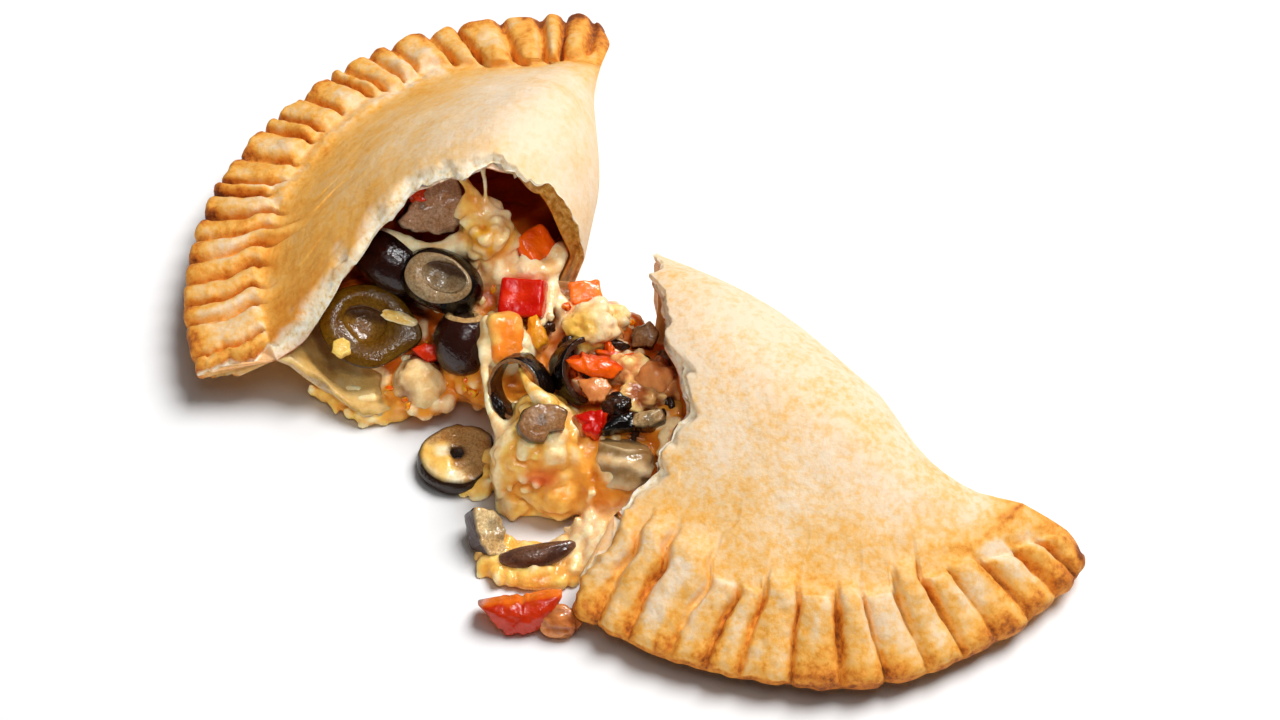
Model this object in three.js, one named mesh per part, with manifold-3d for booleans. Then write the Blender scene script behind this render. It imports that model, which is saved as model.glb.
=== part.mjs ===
// A half-moon savoury pie, fork-crimped along its round edge and torn in two across its fold.
// The two crust halves lie at an angle to each other, joined by the filling that spills between them.
// Millimetres, +Z up, resting on z = 0 with the origin under the middle of the whole.

import * as THREE from 'three';
import { mergeVertices } from 'three/addons/utils/BufferGeometryUtils.js';
import Module from 'manifold-3d';

const wasm = await Module();
wasm.setup();

// Driving dimensions
const CRUST = 3; // thickness of the baked dough
const RIM = 3.2; // thickness of the two sheets pressed together at the edge
const RIDGE = 1.9; // height of a crimp ridge over the grooves beside it
const SCALLOP = 0.8; // how far a ridge stands out past its grooves along the rim
const GAP = 0.45; // clearance between crust and filling
const SETTLED = 1.3; // how far the filling inside has drawn back from the crust
const LAYOUT_SHIFT = [1.5, -9.6]; // puts the origin under the middle of the whole

// One half of the pie lies in its own flat frame: u along the fold from the middle of the whole
// pie out to the tip, v from the fold to the crimped rim, w up.
// grooves are read along the rim as shares of the way from the tip to the tear.
// tearTop and tearBottom are how far the torn edge of each sheet stands back, fold to rim.
const RIGHT = {
  halfFold: 65,
  depth: 60.3,
  crest: 31.5,
  sweep: 99,
  tearFold: -34,
  tearTop: [0, 4.9, 13.8, 6.7, 0],
  tearBottom: [0, 4.9, 13.8, 6.7, 0],
  foldRadius: 21,
  rise: 0.77,
  band: 12.9,
  bandHeight: 14,
  rimHeight: 4.3,
  bow: 9.6,
  waist: 6.2,
  lean: 0,
  grooves: [0, 0.065, 0.12, 0.185, 0.25, 0.31, 0.375, 0.45, 0.52, 0.61, 0.7, 0.755, 0.815, 0.895, 0.95, 1],
  fillAtMouth: [0.9, 0.9, 0.9],
  spin: -31.3,
  mirror: -1,
  at: [27.4, -4.1],
};
const LEFT = {
  halfFold: 67.7,
  depth: 69.7,
  crest: 41.6,
  sweep: 115,
  tearFold: 2.4,
  tearTop: [0, 9.3, 10.7, -3.1, 0],
  tearBottom: [0, -14, -16, -5, 0],
  foldRadius: 19.2,
  rise: 0.76,
  band: 13.4,
  bandHeight: 10.8,
  rimHeight: 7.2,
  bow: 5.2,
  waist: 0.9,
  lean: 10,
  grooves: [
    0, 0.025, 0.075, 0.11, 0.165, 0.225, 0.265, 0.325, 0.36, 0.4, 0.425, 0.48,
    0.53, 0.56, 0.615, 0.665, 0.69, 0.735, 0.775, 0.81, 0.85, 0.89, 0.92, 0.975, 1,
  ],
  fillAtMouth: [0.3, 0.36, 0.8],
  spin: 80.4,
  mirror: 1,
  at: [-16, 18],
};

// Rows of a sheet: 0 at the fold, 1 where the crimped band starts, 2 at the rim
const ROWS = [0, 0.07, 0.18, 0.32, 0.48, 0.64, 0.78, 0.9, 1, 1.2, 1.55, 1.85, 2];
const COLUMNS_PER_RIDGE = 3;
const BAND_SHARE = 0.82; // share of the tear line that is not crimped band
const TEAR_START = 0.35; // share of the way to the tear from where it pulls the sheets along
const FOLD_HEIGHT = 0.42; // height of the fold line as a share of the crest
const RAGGED = 0.7; // how far the torn edge wanders
const TEAR_ROOM = 2.5; // how many times the clearance a ragged tear keeps
const GROOVE_TURN = 0.6; // share of the rim after which the grooves turn to run along the tear
const TIP_FADE = 1 / 12; // share of the rim over which the crimps set in at the tip
const RIDGE_LEVEL = 0.6; // share of a ridge that lies under the sheet's own height
const ROUNDNESS = 0.55; // how much of the dome's climb eases in, the rest springs from the band
const SEAT = 14; // width over which the lower sheet comes down to the table
const FOLD_SLOPE = 0.35; // how fast the fold's rounding widens away from the tip
const LEAST_FOLD = 2; // width of the fold's rounding at the tip

// Rows and columns of the hollow inside a half
const HOLLOW_ROWS = [0, 0.04, 0.13, 0.28, 0.48, 0.68, 0.86, 0.96, 1];
const STUFFING_ROWS = [0, 0.06, 0.2, 0.4, 0.62, 0.84, 1];
const HOLLOW_COLUMNS = 18;
const STUFFING_COLUMNS = 11;
const HOLLOW_START = 0.13; // how far from the tip the hollow begins
const START_SHIFT = 0.03; // how much later a hollow that is 1 mm smaller begins
const HOLLOW_INSET = 1.5; // distance of the hollow from the crimped band
const HOLLOW_EDGE = 0.12; // share of the hollow's width that its rounded edge takes
const LEAST = 0.9; // least half height of the hollow
const THROUGH = 12; // how far the cutter for the hollow reaches past the tear
const RECESS = 3; // how far inside the tear the stuffed filling stops

// The filling: cheese lumps that carry it from one half to the other, as centre and half sizes
const CHEESE = [
  { at: [-40, 15, 7], size: [16, 14, 7] },
  { at: [-24, 19, 10], size: [13, 12, 8] },
  { at: [-26, 4, 7], size: [14, 12, 8] },
  { at: [-9, 5, 9], size: [13, 12, 8] },
  { at: [0, -7, 10], size: [12, 14, 9] },
  { at: [-6, -17, 8], size: [11, 13, 9] },
  { at: [-17.5, -19.5, 8], size: [8.6, 9.6, 9] },
  { at: [-3, -33, 4], size: [11, 10, 5] },
  { at: [-16, -40, 1.6], size: [13, 7, 3] },
  { at: [-30, -14, 1.5], size: [9, 6, 3] },
  { at: [12, -14, 10], size: [14, 12, 8] },
];

// The pieces that show in the filling, largest first; turn is in degrees about x, y and z
const CUT_OLIVES = [
  { name: 'green olive', at: [-50.9, 8.2, 10], size: [10.4, 7.6, 7], turn: [50, 0, -6] },
  { name: 'black olive', at: [-39.5, 15.4, 16], size: [9.6, 7, 9], turn: [42, 8, -28] },
  { name: 'grey olive', at: [-2.8, -24.9, 13], size: [7.4, 6, 6], turn: [46, 12, 14] },
  { name: 'black olive with tomato', at: [-10, -6, 15], size: [7.6, 6.4, 6], turn: [30, -14, 10] },
  { name: 'purple olive', at: [-33.4, 3.6, 12], size: [5.6, 6.6, 7], turn: [75, 0, 60] },
];
const OLIVE_RINGS = [
  { name: 'lying ring', at: [-33.6, -16.4, 4.4], radius: 7.6, hole: 2.8, thick: 4, turn: [14, -8, 0] },
  { name: 'ring on edge', at: [-21.4, -7.1, 15], radius: 6.2, hole: 3.4, thick: 4, turn: [62, 30, 0] },
  { name: 'slice by the lip', at: [-39.1, 25.1, 25], radius: 6.8, hole: 1.6, thick: 3, turn: [48, -10, 0] },
  { name: 'ring in the strip', at: [-21.7, -35.6, 3], radius: 9, hole: 5, thick: 3.6, turn: [12, 6, 0] },
];
const LUMPS = [
  { name: 'yellow pepper', at: [-28.3, 21.8, 20], size: [5.5, 5, 5] },
  { name: 'tomato by the ceiling', at: [-20.8, 23.3, 16], size: [5, 5, 4.5] },
  { name: 'cream onion', at: [-9.4, 5.2, 15], size: [6, 5.4, 4.6] },
  { name: 'orange pepper', at: [-25.2, 2.1, 15], size: [4.4, 5.2, 4.4] },
  { name: 'clear onion', at: [-41.4, -1.9, 5.4], size: [5, 5.2, 4.6] },
  { name: 'brown olive', at: [0, 2, 13], size: [3.6, 3.4, 3.4] },
  { name: 'orange onion', at: [0.9, -11.2, 16], size: [6, 6, 4.4] },
  { name: 'red tomato', at: [-8.3, -16.3, 13], size: [4.4, 3.2, 3] },
  { name: 'olive on the cheese', at: [-18.2, -19, 18], size: [4.6, 4, 2.8] },
  { name: 'tomato wedge', at: [-21, -49.6, 3.2], size: [8.4, 4.2, 3.2] },
];
const CUBES = [
  { name: 'red pepper dice', at: [-21.8, 11.2, 16], size: [7.4, 6.6, 7.4], turn: [34, 0, -4] },
  { name: 'orange pepper dice', at: [-10.8, 13.2, 13], size: [5.6, 4.4, 5], turn: [40, 10, 14] },
  { name: 'red bit', at: [-40.4, 4.8, 8], size: [5, 4, 5], turn: [30, 0, 10] },
  { name: 'yellow dice', at: [-19.4, 2.4, 15], size: [3.4, 5.4, 5], turn: [30, 0, 12] },
];
const OLIVE_SIDES = 10;
const FINE_FROM = 8; // half height from which a cheese lump has finer faces
const WIGGLE = 0.09; // unevenness of a lump, as a share of its size

const DEG = Math.PI / 180;
const clamp01 = (x) => Math.min(1, Math.max(0, x));
const lerp = (a, b, k) => a + (b - a) * k;
const mix = (p, q, k) => [lerp(p[0], q[0], k), lerp(p[1], q[1], k)];

function smooth(x) {
  const k = clamp01(x);
  return k * k * (3 - 2 * k);
}

function unit([x, y]) {
  const length = Math.hypot(x, y);
  return [x / length, y / length];
}

// Slope at a knot: level where the curve turns, and the harmonic mean of its neighbours elsewhere
function knotSlope(knots, i) {
  const last = knots.length - 1;
  if (i === 0) return (4 * knots[1] - knots[2] - 3 * knots[0]) / 2;
  if (i === last) return (3 * knots[last] - 4 * knots[last - 1] + knots[last - 2]) / 2;
  const before = knots[i] - knots[i - 1];
  const after = knots[i + 1] - knots[i];
  return before * after <= 0 ? 0 : (2 * before * after) / (before + after);
}

// Value at share k of a smooth curve through evenly spaced knots
function alongKnots(knots, k) {
  const place = clamp01(k) * (knots.length - 1);
  const i = Math.min(Math.floor(place), knots.length - 2);
  const x = place - i;
  const bend = x * (1 - x);
  const slopes = knotSlope(knots, i) * (1 - x) - knotSlope(knots, i + 1) * x;
  return lerp(knots[i], knots[i + 1], smooth(x)) + bend * slopes;
}

// Rim of the flat half, t = 0 at the tip and 1 at the tear
function rimPoint(half, t) {
  const angle = half.sweep * t * DEG;
  return [half.halfFold * Math.cos(angle), half.depth * Math.sin(angle)];
}

// The way a crimp groove runs in from the rim: to the middle of the fold, turning to the tear line
function grooveDirection(half, t) {
  const [u, v] = rimPoint(half, t);
  const turned = half.lean * DEG * smooth(t * 4);
  const [cos, sin] = [Math.cos(turned), Math.sin(turned)];
  const radial = unit([v * sin - u * cos, -u * sin - v * cos]);
  const end = rimPoint(half, 1);
  const tear = unit([half.tearFold - end[0], -end[1]]);
  return unit(mix(radial, tear, smooth((t - GROOVE_TURN) / (1 - GROOVE_TURN))));
}

// Height of a ridge over its grooves, 0 to 1, at a share of the rim
function ridgeAt(half, t) {
  const i = Math.max(1, half.grooves.findIndex((groove) => groove >= t));
  const across = (t - half.grooves[i - 1]) / (half.grooves[i] - half.grooves[i - 1]);
  return Math.sqrt(Math.sin(Math.PI * clamp01(across)));
}

// Plan of the flat half: t from tip to tear, row from fold (0) past the band (1) to the rim (2)
function planPoint(half, t, row, tear) {
  const rim = rimPoint(half, t);
  const way = grooveDirection(half, t);
  const inner = [rim[0] + way[0] * half.band, rim[1] + way[1] * half.band];
  const fold = [lerp(half.halfFold - half.band, half.tearFold, t), 0];
  const [u, v] = row < 1 ? mix(fold, inner, row) : mix(inner, rim, row - 1);
  const share = row < 1 ? row * BAND_SHARE : lerp(BAND_SHARE, 1, row - 1);
  return [u + tearShift(tear, share) * smooth((t - TEAR_START) / (1 - TEAR_START)), v];
}

// How far the torn edge stands back at a share of the way from fold to rim, with its ragged wander
function tearShift(tear, share) {
  const wander = Math.sin(share * 31) + 0.7 * Math.sin(share * 67 + 1);
  return alongKnots(tear, share) + RAGGED * wander * smooth(share * 8) * smooth((1 - share) * 5);
}

// Distance inside the rim
function fromRim(half, u, v) {
  const r = Math.hypot(u, v);
  if (r < 0.001) return half.depth;
  return r / Math.hypot(u / half.halfFold, v / half.depth) - r;
}

// Heights of the upper and lower sheet over a point of the flat half
function heights(half, u, v) {
  const inside = fromRim(half, u, v);
  const reach = Math.max(inside + Math.hypot(u, v) - half.band, 1) * half.rise;
  const climb = clamp01((inside - half.band) / reach);
  const dome = lerp(Math.sin((climb * Math.PI) / 2), smooth(climb), ROUNDNESS);
  const seated = smooth((inside - 0.8 * half.band) / SEAT);
  const widening = LEAST_FOLD + FOLD_SLOPE * (half.halfFold - Math.abs(u));
  const foldWidth = Math.max(LEAST_FOLD, Math.min(half.foldRadius, widening));
  const round = Math.sqrt(1 - (1 - clamp01(v / foldWidth)) ** 2);
  const rim = lerp(half.bandHeight, half.rimHeight, clamp01(1 - inside / half.band));
  const middle = lerp(rim, FOLD_HEIGHT * half.crest, dome);
  return {
    top: middle + round * lerp(RIM / 2, half.crest - middle, dome),
    bottom: middle - round * lerp(RIM / 2, middle, seated),
  };
}

// The fold line is not straight: it draws in near the tip and bows out near the tear
function foldOffset(half, u) {
  const share = (half.halfFold - u) / (half.halfFold - half.tearFold);
  const waist = half.waist * Math.sin(Math.PI * clamp01(share / 0.5)) ** 2;
  return waist - half.bow * smooth((share - 0.3) / 0.5);
}

function place(half, u, v, w) {
  const bent = v + foldOffset(half, u) * Math.max(0, 1 - v / half.depth);
  return [u, bent * half.mirror, w];
}

// A closed skin between an upper and a lower grid of points that share their first row and column
function skin(upper, lower, mirrored, lastRowShared) {
  const columns = upper.length;
  const rows = upper[0].length;
  const positions = [...upper.flat(), ...lower.flat()].flat();
  const [end, rim] = [columns - 1, rows - 1];
  const top = (c, r) => c * rows + r;
  const bottom = (c, r) => columns * rows + c * rows + r;
  const index = [];
  const quad = (a, b, c, d) => index.push(...(mirrored ? [a, c, b, a, d, c] : [a, b, c, a, c, d]));
  for (let c = 0; c + 1 < columns; c++) {
    for (let r = 0; r + 1 < rows; r++) {
      quad(top(c, r), top(c, r + 1), top(c + 1, r + 1), top(c + 1, r));
      quad(bottom(c, r), bottom(c + 1, r), bottom(c + 1, r + 1), bottom(c, r + 1));
    }
    if (!lastRowShared) quad(top(c, rim), bottom(c, rim), bottom(c + 1, rim), top(c + 1, rim));
  }
  for (let r = 0; r + 1 < rows; r++) quad(top(end, r), top(end, r + 1), bottom(end, r + 1), bottom(end, r));
  const geometry = new THREE.BufferGeometry();
  geometry.setAttribute('position', new THREE.Float32BufferAttribute(positions, 3));
  geometry.setIndex(index);
  return geometry;
}

// Joins shared vertices and drops the triangles that this leaves without area
function welded(geometry) {
  const bare = geometry.clone();
  for (const name of Object.keys(bare.attributes)) if (name !== 'position') bare.deleteAttribute(name);
  const joined = mergeVertices(bare, 0.001);
  const kept = [];
  const corners = joined.index.array;
  for (let i = 0; i < corners.length; i += 3) {
    const [a, b, c] = corners.slice(i, i + 3);
    if (a !== b && b !== c && c !== a) kept.push(a, b, c);
  }
  joined.setIndex(kept);
  return joined;
}

function toSolid(geometry, matrix = new THREE.Matrix4()) {
  const joined = welded(geometry).applyMatrix4(matrix);
  return new wasm.Manifold(new wasm.Mesh({
    numProp: 3,
    vertProperties: new Float32Array(joined.attributes.position.array),
    triVerts: new Uint32Array(joined.index.array),
  }));
}

function toGeometry(solid) {
  const mesh = solid.getMesh();
  const geometry = new THREE.BufferGeometry();
  geometry.setAttribute('position', new THREE.BufferAttribute(mesh.vertProperties, 3));
  geometry.setIndex(new THREE.BufferAttribute(mesh.triVerts, 1));
  geometry.computeVertexNormals();
  return geometry;
}

function placement(half) {
  const turn = new THREE.Matrix4().makeRotationZ(half.spin * DEG);
  return turn.setPosition(half.at[0], half.at[1], 0);
}

// Outer form of a half, crimps and all; grow makes it that much larger all round
function outerForm(half, grow) {
  const stops = half.grooves.slice(0, -1).flatMap((groove, i) => {
    const next = half.grooves[i + 1];
    return Array.from({ length: COLUMNS_PER_RIDGE }, (_, k) => lerp(groove, next, k / COLUMNS_PER_RIDGE));
  });
  const upper = [];
  const lower = [];
  for (const t of [...stops, 1]) {
    const ridge = ridgeAt(half, t);
    const setIn = smooth(t / TIP_FADE);
    const sheet = (tear, side) => ROWS.map((row) => {
      const [u, v] = planPoint(half, t, row, tear);
      const level = heights(half, u, v);
      const scallop = clamp01(row - 1) * SCALLOP * (ridge - 0.5) * setIn;
      const out = 1 + (scallop + grow) / half.depth;
      const crimp = RIDGE * (ridge - RIDGE_LEVEL) * smooth((row - 1) / 0.3) * setIn;
      const w = side > 0 ? level.top + crimp : level.bottom;
      const onFold = row === 0 || t === 0;
      const height = onFold ? level.top : w + side * grow;
      const torn = t === 1 ? TEAR_ROOM * grow : 0;
      return place(half, u * out - torn, onFold ? -grow : v * out, height);
    });
    upper.push(sheet(half.tearTop, 1));
    lower.push(sheet(half.tearBottom, -1));
  }
  return skin(upper, lower, half.mirror < 0, false);
}

// The hollow inside a half, from near the tip out past the tear; where fill says how full the
// mouth is, the same form is the filling that lies in it and stops short of the tear
function hollowForm(half, shrink, fill) {
  const inset = CRUST + shrink;
  const upper = [];
  const lower = [];
  const rows = fill ? STUFFING_ROWS : HOLLOW_ROWS;
  const last = fill ? STUFFING_COLUMNS : HOLLOW_COLUMNS;
  const torn = fill ? last : last - 1;
  for (let c = 0; c <= last; c++) {
    const t = lerp(HOLLOW_START + shrink * START_SHIFT, 1, Math.min(1, c / torn));
    const past = fill ? -RECESS * smooth((t - 0.8) / 0.2) : THROUGH * (c > torn);
    const sheet = (tear, side) => rows.map((b) => {
      const start = inset / half.depth;
      const stop = 1 - (HOLLOW_INSET + shrink) / half.depth;
      const rounded = Math.sqrt(clamp01(b / HOLLOW_EDGE) * clamp01((1 - b) / HOLLOW_EDGE));
      const between = half.tearTop.map((shift, i) => (shift + half.tearBottom[i]) / 2);
      const meeting = tear.map((shift, i) => lerp(between[i], shift, rounded));
      const [u, v] = planPoint(half, t, lerp(start, stop, b), meeting);
      const level = heights(half, u, v);
      const middle = (level.top + level.bottom) / 2;
      const room = Math.max((level.top - level.bottom) / 2 - inset, LEAST - shrink);
      const thick = c === 0 ? 0 : room * rounded;
      const full = side > 0 && fill ? lerp(1, alongKnots(fill, b), smooth((t - 0.3) / 0.4)) : 1;
      return place(half, u - past, v, middle + thick * side * (2 * full - 1));
    });
    upper.push(sheet(half.tearTop, 1));
    lower.push(sheet(half.tearBottom, -1));
  }
  return skin(upper, lower, half.mirror < 0, true);
}

function crust(half) {
  return toSolid(outerForm(half, 0)).subtract(toSolid(hollowForm(half, 0)));
}

// The room that the crust takes up from the filling
function crustWithClearance(half) {
  const matrix = placement(half);
  return toSolid(outerForm(half, GAP), matrix).subtract(toSolid(hollowForm(half, GAP), matrix));
}

function posed(piece) {
  const turn = new THREE.Euler(...(piece.turn ?? [0, 0, 0]).map((angle) => angle * DEG));
  const matrix = new THREE.Matrix4().makeRotationFromEuler(turn);
  return matrix.setPosition(...piece.at);
}

// An uneven round lump
function lump(piece, number, detail) {
  const geometry = welded(new THREE.IcosahedronGeometry(1, detail));
  const points = geometry.attributes.position;
  for (let i = 0; i < points.count; i++) {
    const [x, y, z] = [points.getX(i), points.getY(i), points.getZ(i)];
    const swell = 1 + WIGGLE * (Math.sin(4 * x + number) + Math.sin(5 * y + 2 * number) + Math.sin(4 * z));
    points.setXYZ(i, x * swell * piece.size[0], y * swell * piece.size[1], z * swell * piece.size[2]);
  }
  return toSolid(geometry, posed(piece));
}

// Half an olive with the hollow of its stone in the cut face, which looks up before it is turned
function cutOlive(piece) {
  const [long, wide, deep] = piece.size;
  const skinSide = [[0, -1], [0.48, -0.88], [0.84, -0.55], [1, -0.15], [0.92, 0]];
  const stoneHollow = [[0.45, 0], [0.3, -0.22], [0, -0.3]];
  const points = [...skinSide, ...stoneHollow].map(([r, y]) => new THREE.Vector2(r, y));
  const geometry = new THREE.LatheGeometry(points, OLIVE_SIDES);
  geometry.rotateX(Math.PI / 2).scale(long, wide, deep);
  return toSolid(geometry, posed(piece));
}

function oliveRing(piece) {
  const { radius, hole, thick } = piece;
  const edge = thick / 2;
  const cut = radius * 0.93;
  const profile = [[hole, -edge], [cut, -edge], [radius, 0], [cut, edge], [hole, edge], [hole, -edge]];
  const points = profile.map(([r, y]) => new THREE.Vector2(r, y));
  const geometry = new THREE.LatheGeometry(points, OLIVE_SIDES);
  geometry.rotateX(Math.PI / 2);
  return toSolid(geometry, posed(piece));
}

function dice(piece) {
  return toSolid(new THREE.BoxGeometry(...piece.size), posed(piece));
}

function aboveTable(solid) {
  const room = new THREE.BoxGeometry(400, 400, 200);
  room.translate(0, 0, 100);
  return solid.intersect(toSolid(room));
}

// Drops scraps that the crust cuts off and keeps the one body that runs through both halves
function largestBody(solid) {
  return solid.decompose().sort((a, b) => b.volume() - a.volume())[0];
}

function filling() {
  const stuffing = [LEFT, RIGHT].map((half) => {
    return toSolid(hollowForm(half, SETTLED, half.fillAtMouth), placement(half));
  });
  const bridge = CHEESE.map((piece, i) => lump(piece, i, piece.size[2] > FINE_FROM ? 2 : 1));
  const pieces = [
    ...CUT_OLIVES.map(cutOlive),
    ...OLIVE_RINGS.map(oliveRing),
    ...LUMPS.map((piece, i) => lump(piece, i, 1)),
    ...CUBES.map(dice),
  ];
  const heap = [...stuffing, ...bridge, ...pieces].reduce((sum, solid) => sum.add(solid));
  const clear = heap.subtract(crustWithClearance(LEFT)).subtract(crustWithClearance(RIGHT));
  return largestBody(aboveTable(clear));
}

function named(name, solid, color, roughness) {
  const material = new THREE.MeshStandardMaterial({ color, roughness, metalness: 0 });
  const mesh = new THREE.Mesh(toGeometry(solid), material);
  mesh.name = name;
  return mesh;
}

function crustMesh(name, half) {
  const mesh = named(name, crust(half), '#efcf9d', 0.75);
  mesh.rotation.z = half.spin * DEG;
  mesh.position.set(half.at[0], half.at[1], 0);
  return mesh;
}

const pie = new THREE.Group();
pie.name = 'torn_pie';
pie.position.set(LAYOUT_SHIFT[0], LAYOUT_SHIFT[1], 0);
pie.add(crustMesh('crust_left', LEFT));
pie.add(crustMesh('crust_right', RIGHT));
pie.add(named('filling', filling(), '#d99a4a', 0.4));

export default pie;
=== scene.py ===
# Looks of a half-moon savoury pie torn in two: its baked crust, and the filling that spills out.
# Lengths are in millimetres until a mesh is made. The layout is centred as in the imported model.
import itertools
import math
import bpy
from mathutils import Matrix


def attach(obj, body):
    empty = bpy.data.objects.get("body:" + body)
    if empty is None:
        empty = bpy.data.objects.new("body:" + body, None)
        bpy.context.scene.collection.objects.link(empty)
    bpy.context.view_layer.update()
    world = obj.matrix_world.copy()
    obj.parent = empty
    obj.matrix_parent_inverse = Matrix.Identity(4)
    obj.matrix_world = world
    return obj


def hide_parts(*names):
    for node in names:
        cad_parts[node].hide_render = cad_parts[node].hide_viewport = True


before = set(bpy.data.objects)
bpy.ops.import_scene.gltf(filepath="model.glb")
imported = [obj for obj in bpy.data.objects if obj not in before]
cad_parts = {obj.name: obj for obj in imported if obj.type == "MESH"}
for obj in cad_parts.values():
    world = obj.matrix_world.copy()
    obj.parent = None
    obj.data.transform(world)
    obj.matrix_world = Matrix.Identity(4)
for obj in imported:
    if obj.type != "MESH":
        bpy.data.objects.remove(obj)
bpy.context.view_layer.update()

from types import SimpleNamespace

import bmesh
import bpy
import numpy as np

MM = 0.001
LAYOUT_SHIFT = np.array([1.5, -9.6, 0.0])  # puts the origin under the middle of the whole
ELEVATION = math.radians(54)
# Columns of this turn: the picture's right, its up and the way to the camera
VIEW = np.array([
    [1, 0, 0],
    [0, math.sin(ELEVATION), -math.cos(ELEVATION)],
    [0, math.cos(ELEVATION), math.sin(ELEVATION)],
])

# The two halves of the crust. Each lies in its own flat frame: u along the fold out to the tip,
# v from the fold to the crimped rim, w up. Grooves are shares of the rim from tip to tear.
# Puff is the swell of the crimps, frayed the width of the pale torn edge, slant how far its face leans
# out, and recess how far inside the tear the stuffing stops. Bake, dome_bake and tip_bake brown the band,
# the foot of the dome and the tip. The tan value darkens the flank, partly as a tan colour and partly as
# painted shade, and browns the band's ends; rich is how oily the inside is.
RIGHT = SimpleNamespace(
    node="crust_right", seed=3,
    half_fold=65, depth=60.3, crest=31.5, sweep=99, tear_fold=-34,
    tear_top=[0, 4.9, 13.8, 6.7, 0], tear_bottom=[0, 4.9, 13.8, 6.7, 0],
    fold_radius=21, rise=0.77, band=12.9, band_height=14, rim_height=4.3,
    bow=9.6, waist=6.2, lean=0,
    grooves=[0, 0.065, 0.12, 0.185, 0.25, 0.31, 0.375, 0.45, 0.52, 0.61, 0.7, 0.755,
             0.815, 0.895, 0.95, 1],
    ridge_at=[0, 0.05, 0.17, 0.3, 1], ridge_length=[3, 6.6, 11, 13, 13],
    fill_at_mouth=[0.9, 0.9, 0.9], spin=-31.3, mirror=-1, at=[27.4, -4.1, 0],
    tip_radius=5, puff=1.5, frayed=2.2, slant=0.0, recess=3, columns=260,
    bake=0.09, dome_bake=0.31, tip_bake=0.24, tan=0.0, rich=0.2,
)
LEFT = SimpleNamespace(
    node="crust_left", seed=8,
    half_fold=67.7, depth=69.7, crest=41.6, sweep=115, tear_fold=2.4,
    tear_top=[0, 9.3, 12.6, -0.6, 0], tear_bottom=[0, -14, -16, -5, 0],
    fold_radius=19.2, rise=0.76, band=13.4, band_height=10.8, rim_height=7.2,
    bow=5.2, waist=0.9, lean=10,
    grooves=[0, 0.025, 0.075, 0.11, 0.165, 0.225, 0.265, 0.325, 0.36, 0.4, 0.425, 0.48,
             0.53, 0.56, 0.615, 0.665, 0.69, 0.735, 0.775, 0.81, 0.85, 0.89, 0.92, 0.975, 1],
    ridge_at=[0, 0.05, 0.2, 0.3, 0.7, 0.735, 1], ridge_length=[9, 13.5, 14, 9.5, 9.5, 13, 13],
    fill_at_mouth=[0.3, 0.36, 0.8], spin=80.4, mirror=1, at=[-16, 18, 0],
    tip_radius=7, puff=1.7, frayed=4.4, slant=0.6, recess=16, columns=330,
    bake=0.15, dome_bake=0.19, tip_bake=0.2, tan=0.19, rich=1.0,
)
CRUST = 3  # thickness of the baked dough
RIM = 3.2  # thickness of the two sheets pressed together at the edge
RIDGE = 2.1  # height of a crimp ridge over the grooves beside it
GROOVE_WIDTH = 0.85  # half width of the mark of a fork's tine
SCALLOP = 0.8  # how far a ridge stands out past its grooves along the rim
RIM_BULGE = 0.7  # how far the side of the rim is rounded out
SETTLED = 1.3  # how far the filling inside has drawn back from the crust
JAG = 1.2  # depth of the small teeth along a tear
FLAKE = 1.1  # depth of the flakes across a torn face
FRAY_DEPTH = 1.7  # how much thinner the crust is at a frayed edge
WOBBLE = 0.45  # how far a groove strays from its straight line
LIP_SWING = 1.8  # how far the lower edge of an oily mouth wanders
RAGGED = 0.7  # how far the torn edge wanders
RIDGE_SPREAD = 1.4  # how much the ridges differ in length
RIDGE_END = 1.6  # length over which a ridge runs out
CREASE_WIDTH = 1.2  # width of the crease between the crimps and the dome
BAND_SHARE = 0.82  # share of the tear line that is not crimped band
TEAR_START = 0.35  # share of the way to the tear from where it pulls the sheets along
GROOVE_TURN = 0.6  # share of the rim after which the grooves turn to run along the tear
TIP_FADE = 1 / 20  # share of the rim over which the crimps set in at the tip
BY_TEAR = (0.93, 0.07)  # start and width of the zone beside the tear, as shares of the rim
DOME_END = (1.1, 0.2)  # row where the look of the dome ends, and the width over which it fades
FOLD_HEIGHT = 0.42  # height of the fold line as a share of the crest
ROUNDNESS = 0.55  # how much of the dome's climb eases in, the rest springs from the band
SEAT = 14  # width over which the lower sheet comes down to the table
FOLD_SLOPE = 0.35  # how fast the fold's rounding widens away from the tip
LEAST_FOLD = 2  # width of the fold's rounding at the tip
HOLLOW_START = 0.13  # how far from the tip the hollow begins
HOLLOW_INSET = 1.5  # distance of the hollow from the crimped band
HOLLOW_EDGE = 0.12  # share of the hollow's width that its rounded edge takes
LEAST = 0.9  # least half height of the hollow
DOME_ROWS, BAND_ROWS, WALL_ROWS, UNDER_ROWS = 90, 40, 5, 36
TORN_COLUMNS, HOLLOW_COLUMNS = 9, 48
STUFFING_ROWS, STUFFING_COLUMNS = 24, 40


def clamp01(x):
    return np.clip(x, 0.0, 1.0)


def lerp(a, b, k):
    return a + (b - a) * k


def smooth(x):
    k = clamp01(x)
    return k * k * (3 - 2 * k)


def rising(x, start, width):
    """0 up to start, and 1 from a width past it."""
    return smooth((x - start) / width)


def falling(x, end, width):
    """1 until a width short of end, and 0 from end on."""
    return smooth((end - x) / width)


def linear(rgb):
    """Linear light of a display colour given from 0 to 255."""
    c = np.asarray(rgb, float) / 255
    return np.where(c <= 0.04045, c / 12.92, ((c + 0.055) / 1.055) ** 2.4)


LATTICE = 32
lattices = {}


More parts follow.
